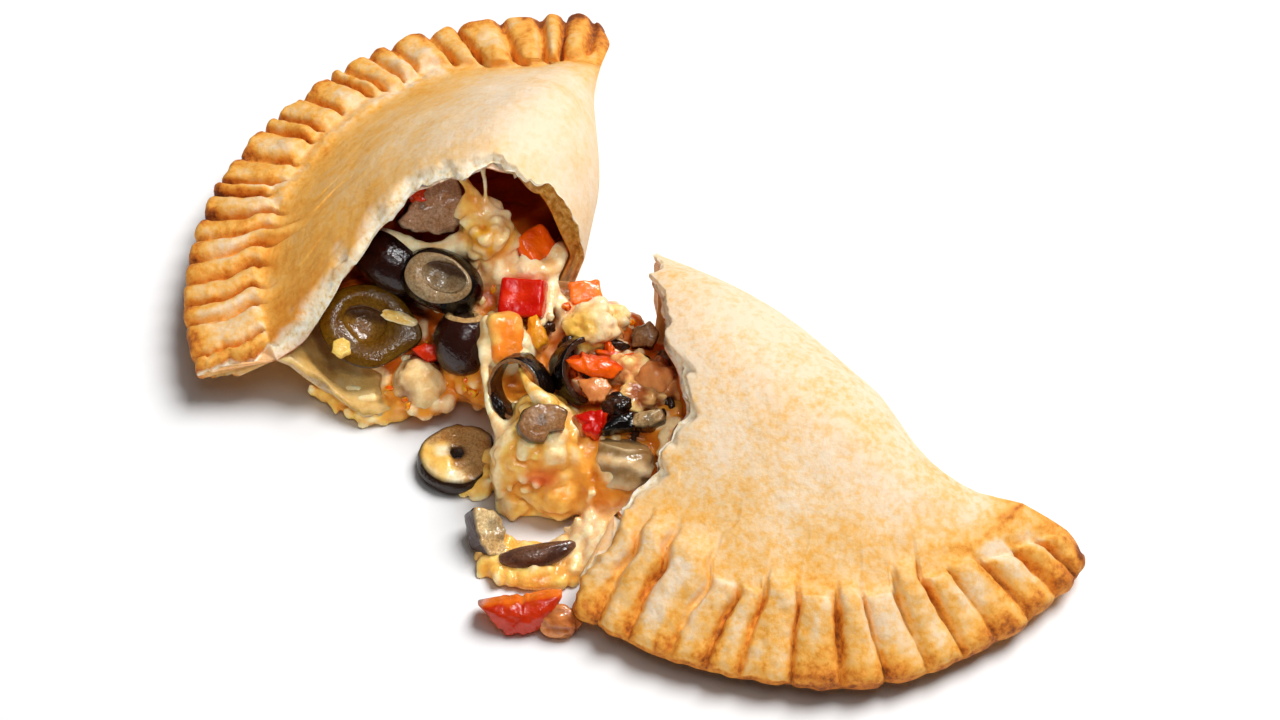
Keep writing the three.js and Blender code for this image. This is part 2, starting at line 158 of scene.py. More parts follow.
def noise(points, wavelength, seed=0):
    """Smooth noise from -1 to 1 at points, with the size of its swells in the points' unit."""
    if seed not in lattices:
        lattices[seed] = np.random.default_rng(seed).uniform(-1, 1, (LATTICE,) * 3)
    place = np.asarray(points) / wavelength
    cell = np.floor(place).astype(int)
    part = smooth(place - cell)
    total = np.zeros(place.shape[:-1])
    for corner in itertools.product((0, 1), repeat=3):
        weight = np.prod(np.where(corner, part, 1 - part), axis=-1)
        i, j, k = np.moveaxis((cell + corner) % LATTICE, -1, 0)
        total += weight * lattices[seed][i, j, k]
    return total


def noise_along(x, wavelength, seed=0):
    return noise(np.stack([x, np.full_like(x, 0.4), np.full_like(x, 0.7)], -1), wavelength, seed)


def knot_slopes(knots):
    steps = np.diff(knots)
    before, after = steps[:-1], steps[1:]
    turning = before * after <= 0
    mean = 2 * before * after / np.where(turning, 1, before + after)
    first = (4 * knots[1] - knots[2] - 3 * knots[0]) / 2
    last = (3 * knots[-1] - 4 * knots[-2] + knots[-3]) / 2
    return np.concatenate([[first], np.where(turning, 0, mean), [last]])


def along_knots(knots, share):
    """Value at a share of the way along a smooth curve through evenly spaced knots."""
    knots = np.asarray(knots, float)
    slopes = knot_slopes(knots)
    place = clamp01(share) * (len(knots) - 1)
    i = np.minimum(place.astype(int), len(knots) - 2)
    x = place - i
    pull = slopes[i] * (1 - x) - slopes[i + 1] * x
    return lerp(knots[i], knots[i + 1], smooth(x)) + x * (1 - x) * pull


# Form of the crust
def rim_point(half, t):
    angle = np.radians(half.sweep * t)
    return half.half_fold * np.cos(angle), half.depth * np.sin(angle)


def rim_speed(half, t):
    """Length of rim for the whole sweep, at the rate it has at t."""
    angle = np.radians(half.sweep * t)
    rate = np.hypot(half.half_fold * np.sin(angle), half.depth * np.cos(angle))
    return rate * math.radians(half.sweep)


def groove_direction(half, t):
    """The way a crimp groove runs in from the rim, turning to the tear line at the end."""
    u, v = rim_point(half, t)
    turned = np.radians(half.lean) * smooth(t * 4)
    cos, sin = np.cos(turned), np.sin(turned)
    in_u, in_v = v * sin - u * cos, -u * sin - v * cos
    length = np.hypot(in_u, in_v)
    end_u, end_v = rim_point(half, 1.0)
    tear_u, tear_v = half.tear_fold - end_u, -end_v
    tear_length = math.hypot(tear_u, tear_v)
    k = rising(t, GROOVE_TURN, 1 - GROOVE_TURN)
    way_u = lerp(in_u / length, tear_u / tear_length, k)
    way_v = lerp(in_v / length, tear_v / tear_length, k)
    size = np.hypot(way_u, way_v)
    return way_u / size, way_v / size


def tear_shift(knots, share):
    wander = np.sin(share * 31) + 0.7 * np.sin(share * 67 + 1)
    return along_knots(knots, share) + RAGGED * wander * smooth(share * 8) * smooth((1 - share) * 5)


def plan_point(half, t, row, shift):
    """Plan of the flat half: row 0 at the fold, 1 where the crimped band starts, 2 at the rim."""
    rim_u, rim_v = rim_point(half, t)
    way_u, way_v = groove_direction(half, t)
    inner_u, inner_v = rim_u + way_u * half.band, rim_v + way_v * half.band
    fold_u = lerp(half.half_fold - half.band, half.tear_fold, t)
    on_dome, on_band = np.minimum(row, 1), np.maximum(row - 1, 0)
    u = lerp(lerp(fold_u, inner_u, on_dome), rim_u, on_band)
    v = lerp(inner_v * on_dome, rim_v, on_band)
    return u + shift * rising(t, TEAR_START, 1 - TEAR_START), v


def tear_share(row):
    return np.where(row < 1, row * BAND_SHARE, lerp(BAND_SHARE, 1, row - 1))


def from_rim(half, u, v):
    r = np.maximum(np.hypot(u, v), 0.001)
    return r / np.hypot(u / half.half_fold, v / half.depth) - r


def heights(half, u, v):
    """Heights of the upper and the lower sheet over a point of the flat half."""
    inside = from_rim(half, u, v)
    reach = np.maximum(inside + np.hypot(u, v) - half.band, 1) * half.rise
    climb = clamp01((inside - half.band) / reach)
    dome = lerp(np.sin(climb * math.pi / 2), smooth(climb), ROUNDNESS)
    seated = rising(inside, 0.8 * half.band, SEAT)
    widening = LEAST_FOLD + FOLD_SLOPE * (half.half_fold - np.abs(u))
    fold_width = np.clip(widening, LEAST_FOLD, half.fold_radius)
    rounding = np.sqrt(1 - (1 - clamp01(v / fold_width)) ** 2)
    rim = lerp(half.band_height, half.rim_height, clamp01(1 - inside / half.band))
    middle = lerp(rim, FOLD_HEIGHT * half.crest, dome)
    top = middle + rounding * lerp(RIM / 2, half.crest - middle, dome)
    bottom = middle - rounding * lerp(RIM / 2, middle, seated)
    return top, bottom


def placed(half, u, v, w):
    """Points of the flat half with its fold line bent, mirrored to the side it lies on."""
    share = (half.half_fold - u) / (half.half_fold - half.tear_fold)
    waist = half.waist * np.sin(math.pi * clamp01(share / 0.5)) ** 2
    offset = waist - half.bow * rising(share, 0.3, 0.5)
    bent = v + offset * np.maximum(0, 1 - v / half.depth)
    return np.stack(np.broadcast_arrays(u, bent * half.mirror, w), -1)


def to_layout(half, points):
    turn = math.radians(half.spin)
    cos, sin = math.cos(turn), math.sin(turn)
    return points @ np.array([[cos, sin, 0], [-sin, cos, 0], [0, 0, 1]]) + half.at


def crimps(half, t, row):
    """Crimped band: lift, depth in a groove, place along a ridge and across it, and the ridge's own tone."""
    rng = np.random.default_rng(half.seed)
    grooves = np.array(half.grooves)
    count = len(grooves)
    speed = rim_speed(half, t)
    inward = (2 - row) * half.band
    flat = np.stack(np.broadcast_arrays(t * speed / 7, inward / 11, 0 * t), -1)
    stray = WOBBLE * noise(flat, 1, 9) * smooth(t * 30) * smooth((1 - t) * 30)
    bent = clamp01(t + stray / speed)
    i = np.clip(np.searchsorted(grooves, bent), 1, count - 1)
    before, after = grooves[i - 1], grooves[i]
    across = clamp01((bent - before) / (after - before))
    width, depth = GROOVE_WIDTH * rng.uniform(0.6, 1.3, count), rng.uniform(0.6, 1.25, count)
    valley = np.maximum(depth[i - 1] * np.exp(-((bent - before) * speed / width[i - 1]) ** 2),
                        depth[i] * np.exp(-((after - bent) * speed / width[i]) ** 2))
    swell = np.sin(math.pi * across) ** 0.6 * rng.uniform(0.65, 1.35, count)[i] * half.puff
    own_length = rng.uniform(-RIDGE_SPREAD, RIDGE_SPREAD, count)[i]
    length = np.interp(t, half.ridge_at, half.ridge_length) + own_length
    along = inward / length
    knob = 0.8 + 0.5 * np.exp(-((along - 0.75) / 0.22) ** 2) * (1 - rising(t, 0.55, 0.15))
    reach = smooth((length - inward) / RIDGE_END + 0.5)
    crease = np.exp(-((inward - length - 0.9) / CREASE_WIDTH) ** 2)
    deepening = lerp(0.7, 1.5, rising(along, 0.3, 0.6))
    set_in = smooth(t / TIP_FADE)
    ridge = 0.4 * swell * knob - 0.95 * valley * deepening
    lift = RIDGE * (ridge * reach - 0.2 * half.puff * crease) * set_in
    tone = rng.uniform(-1, 1, count)[i]
    return lift, clamp01(valley) * reach * set_in, clamp01(along), across, tone


def rounded_tip(half, u, v):
    """Plan with the corner between fold and rim rounded off at the tip."""
    radius = half.tip_radius
    a = clamp01((u - half.half_fold) / radius + 1)
    b = clamp01(1 - v / radius)
    return u + radius * a * (np.sqrt(1 - b * b / 2) - 1), v - radius * b * (np.sqrt(1 - a * a / 2) - 1)


def teeth(half, share):
    """Small uneven teeth along a tear."""
    seed = half.seed
    place = share * half.depth
    coarse = noise_along(place, 3.4, seed) + 0.7 * noise_along(place, 1.5, seed + 1)
    return JAG * (coarse + 0.5 * noise_along(place, 0.7, seed + 2))


def outer_points(half, t, row, side):
    """Outer skin of a half: side 1 is the upper sheet, -1 the lower, and between them the rim."""
    share = tear_share(row)
    upper, lower = tear_shift(half.tear_top, share), tear_shift(half.tear_bottom, share)
    u, v = plan_point(half, t, row, np.where(side > 0, upper, lower))
    swing = half.rich * LIP_SWING * noise_along(share * half.depth, 8, half.seed + 3)
    wander = np.where(side > 0, 0, swing)
    u = u + (teeth(half, share) + wander) * rising(t, *BY_TEAR) * smooth((2 - row) * 6)
    top, bottom = heights(half, u, v)
    lift, _, _, across, tone = crimps(half, t, row)
    bulge = RIM_BULGE * np.sqrt(1 - side ** 2)
    scallop = SCALLOP * (1 + 0.6 * tone) * (np.sqrt(np.sin(math.pi * across)) - 0.5) * smooth(t / TIP_FADE)
    scallop = scallop + 0.4 * noise_along(t * rim_speed(half, t), 2.2, 10)
    out = 1 + (clamp01(row - 1) * scallop + bulge) / half.depth
    w = np.where(row == 0, top, lerp(bottom, top + lift, (side + 1) / 2))
    w = np.where(t == 0, top, w)
    return placed(half, *rounded_tip(half, u * out, np.where(t == 0, 0, v * out)), w)


def hollow_points(half, t, row, side, shrink=0.0, fill=None, recess=0.0):
    """Wall of the hollow in a half, or the filling in it where fill says how full the mouth is."""
    b = np.minimum(row, 1)
    inset = CRUST + shrink
    start, stop = inset / half.depth, 1 - (HOLLOW_INSET + shrink) / half.depth
    rounded = np.sqrt(clamp01(b / HOLLOW_EDGE) * clamp01((1 - b) / HOLLOW_EDGE))
    at = lerp(start, stop, b)
    upper = tear_shift(half.tear_top, tear_share(at))
    lower = tear_shift(half.tear_bottom, tear_share(at))
    own = np.where(side > 0, upper, lower)
    u, v = plan_point(half, t, at, lerp((upper + lower) / 2, own, rounded))
    top, bottom = heights(half, u, v)
    room = np.maximum((top - bottom) / 2 - inset, LEAST - shrink)
    opened = np.where(t == np.min(t), 0, room * rounded)
    full = 1.0
    if fill:
        full = np.where(side > 0, lerp(1, along_knots(fill, b), rising(t, 0.3, 0.4)), 1)
    past = recess * rising(t, 0.8, 0.2)
    return placed(half, u + past, v, (top + bottom) / 2 + opened * np.sign(side) * (2 * full - 1))


def grid_normals(grid, flip):
    along, around = np.gradient(grid, axis=0), np.gradient(grid, axis=1)
    normal = np.cross(around, along) * flip
    return normal / np.maximum(np.linalg.norm(normal, axis=-1, keepdims=True), 1e-9)


def grid_faces(rows, columns, wrap=True):
    i = np.arange(rows - 1)[:, None]
    j = np.arange(columns if wrap else columns - 1)[None, :]
    next_j = (j + 1) % columns
    corners = np.broadcast_arrays(i * columns + j, i * columns + next_j, (i + 1) * columns + next_j,
                                  (i + 1) * columns + j)
    return np.stack(corners, -1).reshape(-1, 4)


def section():
    """One turn round a half's section: its rows, and the side that each lies on."""
    dome = np.linspace(0, 1, DOME_ROWS + 1) ** 1.5
    band = np.linspace(1, 2, BAND_ROWS + 1)[1:]
    upper = np.concatenate([dome, band])
    wall = np.linspace(1, -1, WALL_ROWS + 2)[1:-1]
    under = np.linspace(2, 0, UNDER_ROWS + 1)[:-1]
    row = np.concatenate([upper, np.full(WALL_ROWS, 2.0), under])
    side = np.concatenate([np.ones(len(upper)), wall, -np.ones(UNDER_ROWS)])
    return row[None, :], side[None, :]


def crust_part(half):
    """The whole skin of a half: out along its outside to the tear, over the torn face and in again."""
    row, side = section()
    up = side > 0
    t = (1 - (1 - np.linspace(0, 1, half.columns)) ** 1.25)[:, None]
    outer, frayed = outer_skin(half, t, row, side)
    in_t = np.linspace(1, HOLLOW_START, HOLLOW_COLUMNS)[:, None]
    inner = inner_skin(half, in_t, row, side)
    k = np.linspace(0, 1, TORN_COLUMNS + 2)[1:-1, None]
    torn = torn_face(outer[-1], inner[0], k, row)

    by_fold = half.rich * np.where(up, 1 - rising(row, 0.12, 0.2), 0.5)
    # Each value over the outside, over the torn face and in the hollow
    values = {
        "brown": (browning(half, t, row, side, outer), lerp(0.15, 0.5, clamp01(row - 1)), 0.5),
        "torn": (frayed, 1 - 0.7 * rising(row, 0.95, 0.2), rising(in_t, 0.96, 0.04)),
        "inside": (0.0, 0.35 * k, 1.0),
        "rich": (0.0, by_fold, by_fold * rising(in_t, 0.6, 0.4)),
        "along": (t * rim_speed(half, t), 0.0, 0.0),
        "inward": (row * half.depth / 2, 0.0, 0.0),
        "pulled": (smooth(half.tan * 9) * (1 - rising(row, 0.95, 0.1)) * up, 0.0, 0.0),
        "sole": (0.0, smooth(-side), smooth(-side)),
    }
    lengths = (len(outer), TORN_COLUMNS, HOLLOW_COLUMNS)
    points = np.concatenate([outer, torn, inner])
    faces = grid_faces(len(points), row.size)
    part = {"points": to_layout(half, points.reshape(-1, 3))}
    part["faces"] = faces if half.mirror > 0 else faces[:, ::-1]
    part["values"] = {}
    for name, zones in values.items():
        spread = [np.broadcast_to(value, (n, row.size)) for value, n in zip(zones, lengths)]
        part["values"][name] = np.concatenate(spread).ravel()
    return part


def outer_skin(half, t, row, side):
    """Outside of a half with its swells and grain, and how frayed each spot is by the tear."""
    skin = outer_points(half, t, row, side)
    normals = grid_normals(skin, half.mirror)
    up = side > 0
    on_dome = falling(row, *DOME_END) * up
    swells = 0.55 * noise(skin, 17, 1) + 0.22 * noise(skin, 6.5, 2)
    grain = 0.1 * noise(skin, 2.6, 3) + 0.06 * noise(skin, 1.2, 4)
    cracks = 0.2 * noise(skin, 2.2, 16) + 0.12 * noise(skin, 1.1, 17)
    clear = smooth(t / 0.05) * falling(t, 1, 0.01) * smooth(row * 8)
    raised = (swells * on_dome + (grain + cracks * (1 - on_dome)) * up) * clear

    steps = np.linalg.norm(np.diff(skin, axis=0), axis=-1)
    to_tear = np.concatenate([np.cumsum(steps[::-1], axis=0)[::-1], np.zeros((1, row.size))])
    ragged = 1 + 0.8 * noise(skin, 4, 18) + 0.6 * noise(skin, 1.7, 19)
    width = 0.7 + half.frayed * rising(row, 0.26, 0.25) * falling(row, *DOME_END)
    frayed = smooth(1.15 - to_tear / np.maximum(width * ragged, 0.3)) * up
    crumbs = 0.22 * noise(skin, 1.8, 20) + 0.2 * noise(skin * [2, 0.6, 1], 1.2, 21)
    thinned = FRAY_DEPTH * frayed * rising(row, 0.1, 0.2) * falling(row, *DOME_END)
    raised = raised + frayed * (crumbs - thinned)
    return skin + normals * raised[..., None], frayed


def inner_skin(half, t, row, side):
    """Wall of the hollow, drawn out past the outside at the tear where the torn face slants."""
    wall = hollow_points(half, t, row, side)
    uneven = 1 + 0.5 * noise_along(np.minimum(row, 1) * 40, 4, 15)
    slant = half.slant * rising(row, 0.45, 0.25) * (side > 0) * uneven
    thin = half.slant * np.exp(-((row - 0.38) / 0.18) ** 2) * (side > 0) * rising(t, 0.8, 0.2)
    wall[..., 2] += thin
    wall[..., 0] -= slant * rising(t, *BY_TEAR)
    wall[..., 2] -= 0.35 * noise(wall, 4, 7) * falling(t, 1, 0.03) * np.sign(side)
    return wall


def torn_face(outer_edge, inner_edge, k, row):
    """Flaky face from the outer to the inner edge of a tear, over the shares k."""
    face = lerp(outer_edge, inner_edge, k[..., None])
    flakes = noise(face * [0.5, 1, 1] + 9 * k[..., None], 1.6, 5) + 0.6 * noise(face, 0.8, 6)
    face[..., 0] -= (FLAKE * flakes - 0.5) * np.sin(math.pi * k) * (1 - rising(row, 0.8, 0.15))
    return face


def browning(half, t, row, side, points):
    """How far each spot of the outside is baked, from pale dough at 0 to dark brown at 1,
    with painted shade added in the grooves and on the flank.
    """
    _, groove, inward, _, tone = crimps(half, t, row)
    along_rim, from_edge = t * rim_speed(half, t), (2 - row) * half.band
    flat = np.stack(np.broadcast_arrays(along_rim / 2.6, from_edge / 7, 0 * t), -1)
    patches = smooth(0.5 + 0.9 * noise(flat, 1, 10))
    to_tip = falling(t, 0.35, 0.3)
    ends = half.tan * 0.6 * rising(t, 0.86, 0.1)
    band = half.bake + ends + 0.28 * (patches - 0.15) + 0.08 * tone
    band = band + 0.12 * smooth(1 - inward) + 0.1 * to_tip
    # Grooves are darker, most at their inner ends: partly browning and partly painted shade
    band = band + 0.5 * groove * lerp(0.4, 1, inward) - 0.08 * rising(inward, 0.85, 0.15)
    # the flank darkens towards the tear, partly a tan colour and partly painted shade
    flank = half.tan * lerp(0.2, 1.6, t) * rising(row, 0.3, 0.5)
    dome = 0.05 + half.dome_bake * rising(row, 0.5, 0.5) + 0.17 * to_tip + flank
    dome = dome + 0.05 * noise(points, 9, 12) + 0.04 * noise(points, 3, 13)
    tip = half.tip_bake * falling(t, 0.12, 0.1)
    mixed = lerp(dome, band, rising(row, 0.97, 0.12)) + tip
    under = 0.5 + 0.1 * noise(points, 6, 14)
    rim_edge = 0.22 * rising(row, 1.8, 0.2)
    return clamp01(np.where(side > 0, mixed + rim_edge, np.where(side > -1, 0.75, under)))


WELD = 0.000001  # distance in metres within which points are one


# Meshes
def add_piece(name, parts, material, nodes):
    """One mesh from parts in layout millimetres, riding on the pie and standing for CAD nodes."""
    points = np.concatenate([part["points"] for part in parts])
    points[:, 2] = np.maximum(points[:, 2], 0)
    faces, start = [], 0
    for part in parts:
        faces += (np.asarray(part["faces"]) + start).tolist()
        start += len(part["points"])
    mesh = bpy.data.meshes.new(name)
    mesh.from_pydata(((points + LAYOUT_SHIFT) * MM).tolist(), [], faces)
    for key in parts[0]["values"]:
        values = np.concatenate([part["values"][key] for part in parts])
        if values.ndim == 1:
            mesh.attributes.new(key, "FLOAT", "POINT").data.foreach_set("value", values.astype(np.float32))
        else:
            rgba = np.concatenate([values, np.ones((len(values), 1))], 1).astype(np.float32)
            mesh.attributes.new(key, "FLOAT_COLOR", "POINT").data.foreach_set("color", rgba.ravel())
    welded = bmesh.new()
    welded.from_mesh(mesh)
    bmesh.ops.remove_doubles(welded, verts=welded.verts, dist=WELD)
    bmesh.ops.recalc_face_normals(welded, faces=welded.faces)
    welded.to_mesh(mesh)
    welded.free()
    mesh.shade_smooth()
    mesh.materials.append(material)
    piece = bpy.data.objects.new(name, mesh)
    bpy.context.scene.collection.objects.link(piece)
    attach(piece, "root")
    if nodes:
        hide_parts(*nodes)
    return piece


# Materials
class Nodes:
    """A material's nodes; an input that is a socket is linked, and any other value is set."""

    def __init__(self, name):
        self.material = bpy.data.materials.new(name)
        self.material.use_nodes = True
        self.tree = self.material.node_tree
        self.tree.nodes.clear()

    def add(self, kind, inputs=None, **settings):
        node = self.tree.nodes.new(kind)
        for key, value in settings.items():
            setattr(node, key, value)
        for key, value in (inputs or {}).items():
            if isinstance(value, bpy.types.NodeSocket):
                self.tree.links.new(value, node.inputs[key])
            else:
                node.inputs[key].default_value = value
        return node

    def attribute(self, name, output="Fac"):
        return self.add("ShaderNodeAttribute", attribute_name=name).outputs[output]

    def place(self):
        return self.add("ShaderNodeTexCoord").outputs["Object"]

    def noise(self, size, detail=3.0, vector=None, roughness=0.55):
        """Noise from 0 to 1 whose swells have a size in millimetres."""
        inputs = {"Vector": vector or self.place(), "Scale": 1 / (size * MM), "Detail": detail,
                  "Roughness": roughness}
        return self.add("ShaderNodeTexNoise", inputs).outputs["Fac"]

    def math(self, operation, a, b=0.0, clamp=False):
        return self.add("ShaderNodeMath", {0: a, 1: b}, operation=operation, use_clamp=clamp).outputs[0]

    def spread(self, value, low, high, to_low=0.0, to_high=1.0):
        inputs = {"Value": value, "From Min": low, "From Max": high, "To Min": to_low, "To Max": to_high}
        return self.add("ShaderNodeMapRange", inputs).outputs["Result"]

    def mix(self, factor, a, b, blend="MIX"):
        inputs = {0: factor, 6: a, 7: b}
        return self.add("ShaderNodeMix", inputs, data_type="RGBA", blend_type=blend).outputs[2]

    def ramp(self, value, stops):
        node = self.add("ShaderNodeValToRGB", {"Fac": value})
        elements = node.color_ramp.elements
        while len(elements) < len(stops):
            elements.new(1.0)
        for element, (at, rgb) in zip(elements, stops):
            element.position = at
            element.color = colour(rgb)
        return node.outputs["Color"]

    def bump(self, height, depth, normal=None):
        inputs = {"Height": height, "Distance": depth * MM, "Strength": 1.0}
        if normal:
            inputs["Normal"] = normal
        return self.add("ShaderNodeBump", inputs).outputs["Normal"]

    def surface(self, base, normal, **sockets):
        inputs = {"Base Color": base, "Normal": normal}
        inputs.update({key.replace("_", " "): value for key, value in sockets.items()})
        shader = self.add("ShaderNodeBsdfPrincipled", inputs)
        self.add("ShaderNodeOutputMaterial", {"Surface": shader.outputs["BSDF"]})
        return self.material


def colour(rgb):
    return (*linear(rgb), 1.0)


# Colours of the crust, from the low to the high end of what tints them
BAKED = [
    (0.0, (243, 218, 186)), (0.16, (242, 206, 158)), (0.3, (241, 193, 125)), (0.48, (241, 176, 80)),
    (0.64, (230, 151, 52)), (0.8, (204, 116, 34)), (1.0, (128, 62, 18)),
]
TORN_CRUMB = [(0.26, (216, 172, 112)), (0.44, (246, 224, 184)), (0.66, (254, 246, 228))]
OILED_CRUMB = [(0.28, (134, 82, 20)), (0.5, (198, 140, 54)), (0.72, (236, 198, 122))]
CEILING = [(0.25, (176, 60, 12)), (0.5, (222, 104, 24)), (0.75, (244, 156, 60))]
OILY_CEILING = [(0.25, (164, 66, 2)), (0.5, (206, 108, 6)), (0.75, (236, 156, 40))]
SOLE = [(0.25, (196, 146, 70)), (0.5, (222, 180, 104)), (0.75, (240, 210, 146))]


def crust_material():
    n = Nodes("baked_crust")
    brown, torn, inside = n.attribute("brown"), n.attribute("torn"), n.attribute("inside")
    flat = n.add("ShaderNodeCombineXYZ", {"X": n.attribute("along"), "Y": n.attribute("inward")})
    stretch = {0: flat.outputs[0], 1: (0.12 * MM, MM, 0)}
    stretched = n.add("ShaderNodeVectorMath", stretch, operation="MULTIPLY")
    streaks = n.noise(0.9, 4, stretched.outputs[0])
    freckles = n.noise(1.5, 5, roughness=0.65)
    patches = n.noise(12, 4)
    calm = n.spread(n.attribute("pulled"), 0, 1, 1.0, 0.45)
    baked = n.math("ADD", brown, n.math("MULTIPLY", calm, n.spread(freckles, 0.42, 0.68, -0.07, 0.19)))
    baked = n.math("ADD", baked, n.spread(patches, 0.36, 0.66, -0.06, 0.12))
    pulled = n.math("MULTIPLY", n.attribute("pulled"), n.spread(streaks, 0.3, 0.7, -0.05, 0.05))
    baked = n.math("ADD", baked, pulled)
    outside = n.ramp(baked, BAKED)
    crumb = n.ramp(n.noise(1.1, 4), TORN_CRUMB)
    oiled = n.ramp(n.noise(1.3, 4), OILED_CRUMB)
    ceiling = n.ramp(n.noise(5, 4), CEILING)
    amber = n.ramp(n.noise(3, 4), OILY_CEILING)
    sole = n.ramp(n.noise(4, 4), SOLE)
    rich = n.attribute("rich")
    greasy = n.mix(n.attribute("sole"), n.mix(rich, ceiling, amber), sole)
    base = n.mix(inside, n.mix(torn, outside, n.mix(rich, crumb, oiled)), greasy)
    fine = n.bump(n.noise(0.7, 3), 0.12)
    relief = n.bump(n.math("ADD", n.noise(2.2, 4), n.math("MULTIPLY", pulled, 3.0)), 0.22, fine)
    roughness = n.spread(inside, 0, 1, 0.68, 0.36)
    return n.surface(base, relief, Roughness=roughness, Subsurface_Weight=0.12,
                     Subsurface_Radius=(0.003, 0.0015, 0.0007), Subsurface_Scale=1.0, Specular_IOR_Level=0.35)


# The filling: pieces are placed in layout millimetres and turned as the camera sees them
BLACK_SKIN, PURPLE_SKIN, GREEN_SKIN = (11, 5, 4), (44, 18, 12), (46, 34, 14)
BROWN_FLESH, TAN_FLESH, GREY_FLESH = (178, 132, 88), (222, 184, 124), (206, 174, 124)
GREEN_FLESH, DARK_FLESH, PIT, GREEN_PIT = (120, 82, 12), (78, 48, 32), (128, 104, 78), (150, 108, 40)
RED, LIGHT_RED, ORANGE, LIGHT_ORANGE = (200, 18, 2), (222, 52, 6), (246, 100, 8), (250, 140, 40)
YELLOW, AMBER, TOMATO, DEEP_TOMATO = (250, 190, 40), (238, 160, 32), (222, 62, 12), (150, 40, 8)
CREAM, WHITE_CHEESE, GOLD_CHEESE, SAUCE = (255, 209, 110), (255, 238, 196), (242, 162, 54), (208, 102, 24)
CLEAR_ONION, PINK_ONION, BROWN_ONION = (255, 222, 150), (222, 146, 84), (160, 88, 42)
SLICE_FLESH, FACE_FLESH, FACE_PIT = (206, 164, 128), (178, 154, 116), (132, 112, 84)
RING_SKIN, RING_FLESH, BROWN_CUBE = (44, 26, 14), (206, 160, 100), (150, 92, 30)
STRIP_SKIN, STRIP_FLESH = (66, 38, 28), (255, 228, 170)
# The crescent's lighter colour is a painted sheen on its raised parts
CRESCENT_DARK, CRESCENT_PAINTED_SHEEN = (84, 54, 42), (124, 88, 70)
WEDGE_SKIN, WEDGE_FLESH, YELLOW_CRUMB = (232, 112, 20), (200, 50, 12), (246, 218, 112)
WARM_ONION, TAN_DARK, TAN_LIGHT = (252, 206, 96), (158, 104, 54), (250, 222, 164)
STRIPE_DARK, STRIPE_LIGHT = (150, 122, 80), (232, 210, 166)
SIDES = 64  # points round a piece
SKIN_RINGS, FACE_RINGS = 28, 10  # rings of points over an olive's skin, and over its cut face and pit


def facing(roll=0, tip=0, turn=0):
    """Pose of a piece whose own z looks at the camera: rolled in the picture, tipped up, turned right."""
    a, b, c = (math.radians(angle) for angle in (roll, -tip, turn))
    spin = np.array([[math.cos(a), -math.sin(a), 0], [math.sin(a), math.cos(a), 0], [0, 0, 1]])
    nod = np.array([[1, 0, 0], [0, math.cos(b), -math.sin(b)], [0, math.sin(b), math.cos(b)]])
    yaw = np.array([[math.cos(c), 0, math.sin(c)], [0, 1, 0], [-math.sin(c), 0, math.cos(c)]])
    return VIEW @ yaw @ nod @ spin


LYING = facing(0, 36)


def part_of(points, faces, colours, flesh):
    """A part of the filling; flesh is 0 on glossy skin and 1 on a cut face."""
    return {"points": points, "faces": faces, "values": {"colour": colours, "flesh": flesh}}


def by_zone(zone, skin, flesh, pit):
    """Colours by zone: 0 is skin, 1 cut flesh, 2 the hollow of the stone."""
    skin, flesh, pit = linear(skin), linear(flesh), linear(pit)
    zone = zone[:, None]
    return np.where(zone < 1, lerp(skin, flesh, smooth(zone)), lerp(flesh, pit, smooth(zone - 1)))


def pushed(points, amount):
    """Points moved away from their middle by an amount each."""
    length = np.linalg.norm(points, axis=1, keepdims=True)
    return points * (1 + amount[:, None] / np.maximum(length, 2))


def revolved(radius, height):
    angle = np.linspace(0, 2 * math.pi, SIDES, endpoint=False)
    radius, height = radius[:, None], height[:, None]
    return np.stack(np.broadcast_arrays(radius * np.cos(angle), radius * np.sin(angle), height), -1)


def cut_olive(at, size, pose, skin, flesh, pit=PIT, cut=0.0, pit_size=0.5, pit_depth=0.35, pit_at=(0, 0),
              taper=0.0, seed=0):
    """An olive cut open: size is its half axes, and cut the share of them left above the middle."""
    limit = math.asin(cut)
    edge = math.cos(limit)
    lat = np.linspace(-math.pi / 2, limit, SKIN_RINGS)
    face = np.linspace(0.97, pit_size + 0.03, FACE_RINGS) * edge
    bowl = np.linspace(0, math.pi / 2, FACE_RINGS)
    radius = np.concatenate([np.cos(lat), face, edge * pit_size * np.cos(bowl)])
    cushion = cut + 0.015 + 0.07 * np.sin(np.linspace(0, math.pi, FACE_RINGS))
    height = np.concatenate([np.sin(lat), cushion, cut - pit_depth * np.sin(bowl)])
    zone = np.concatenate([np.zeros(SKIN_RINGS), np.ones(FACE_RINGS), 1.3 + 0.7 * np.sin(bowl)])
    grid = revolved(radius, height)
    upper = smooth(2.4 * grid[..., 1] / (edge * pit_size)) * (zone[:, None] > 1.2)
    ragged = 1 + 0.16 * noise(grid * [1, 1, 0], 0.5, seed)[..., None]
    grid = np.where(zone[:, None, None] > 1, grid * ragged, grid)
    moved = np.concatenate([np.zeros(SKIN_RINGS), np.linspace(0, 1, FACE_RINGS), np.ones(FACE_RINGS)])
    grid[..., :2] += moved[:, None, None] * pit_at
    grid[..., 1] *= 1 - taper * smooth(grid[..., 0])
    points = (grid * size).reshape(-1, 3)
    zones = np.repeat(zone, SIDES)
    uneven = 0.45 * noise(points, 4.5, seed + 1)
    points = pushed(points, uneven + (zones > 0) * 0.25 * noise(points, 1.6, seed + 2))
    colours = by_zone(zones, skin, flesh, pit)
    # The pit's upper wall is darkened towards DARK_FLESH: painted shade inside the hollow
    colours = lerp(colours, linear(DARK_FLESH), 0.85 * upper.ravel()[:, None])
    return part_of(points @ pose.T + at, grid_faces(len(zone), SIDES), colours, clamp01(zones))


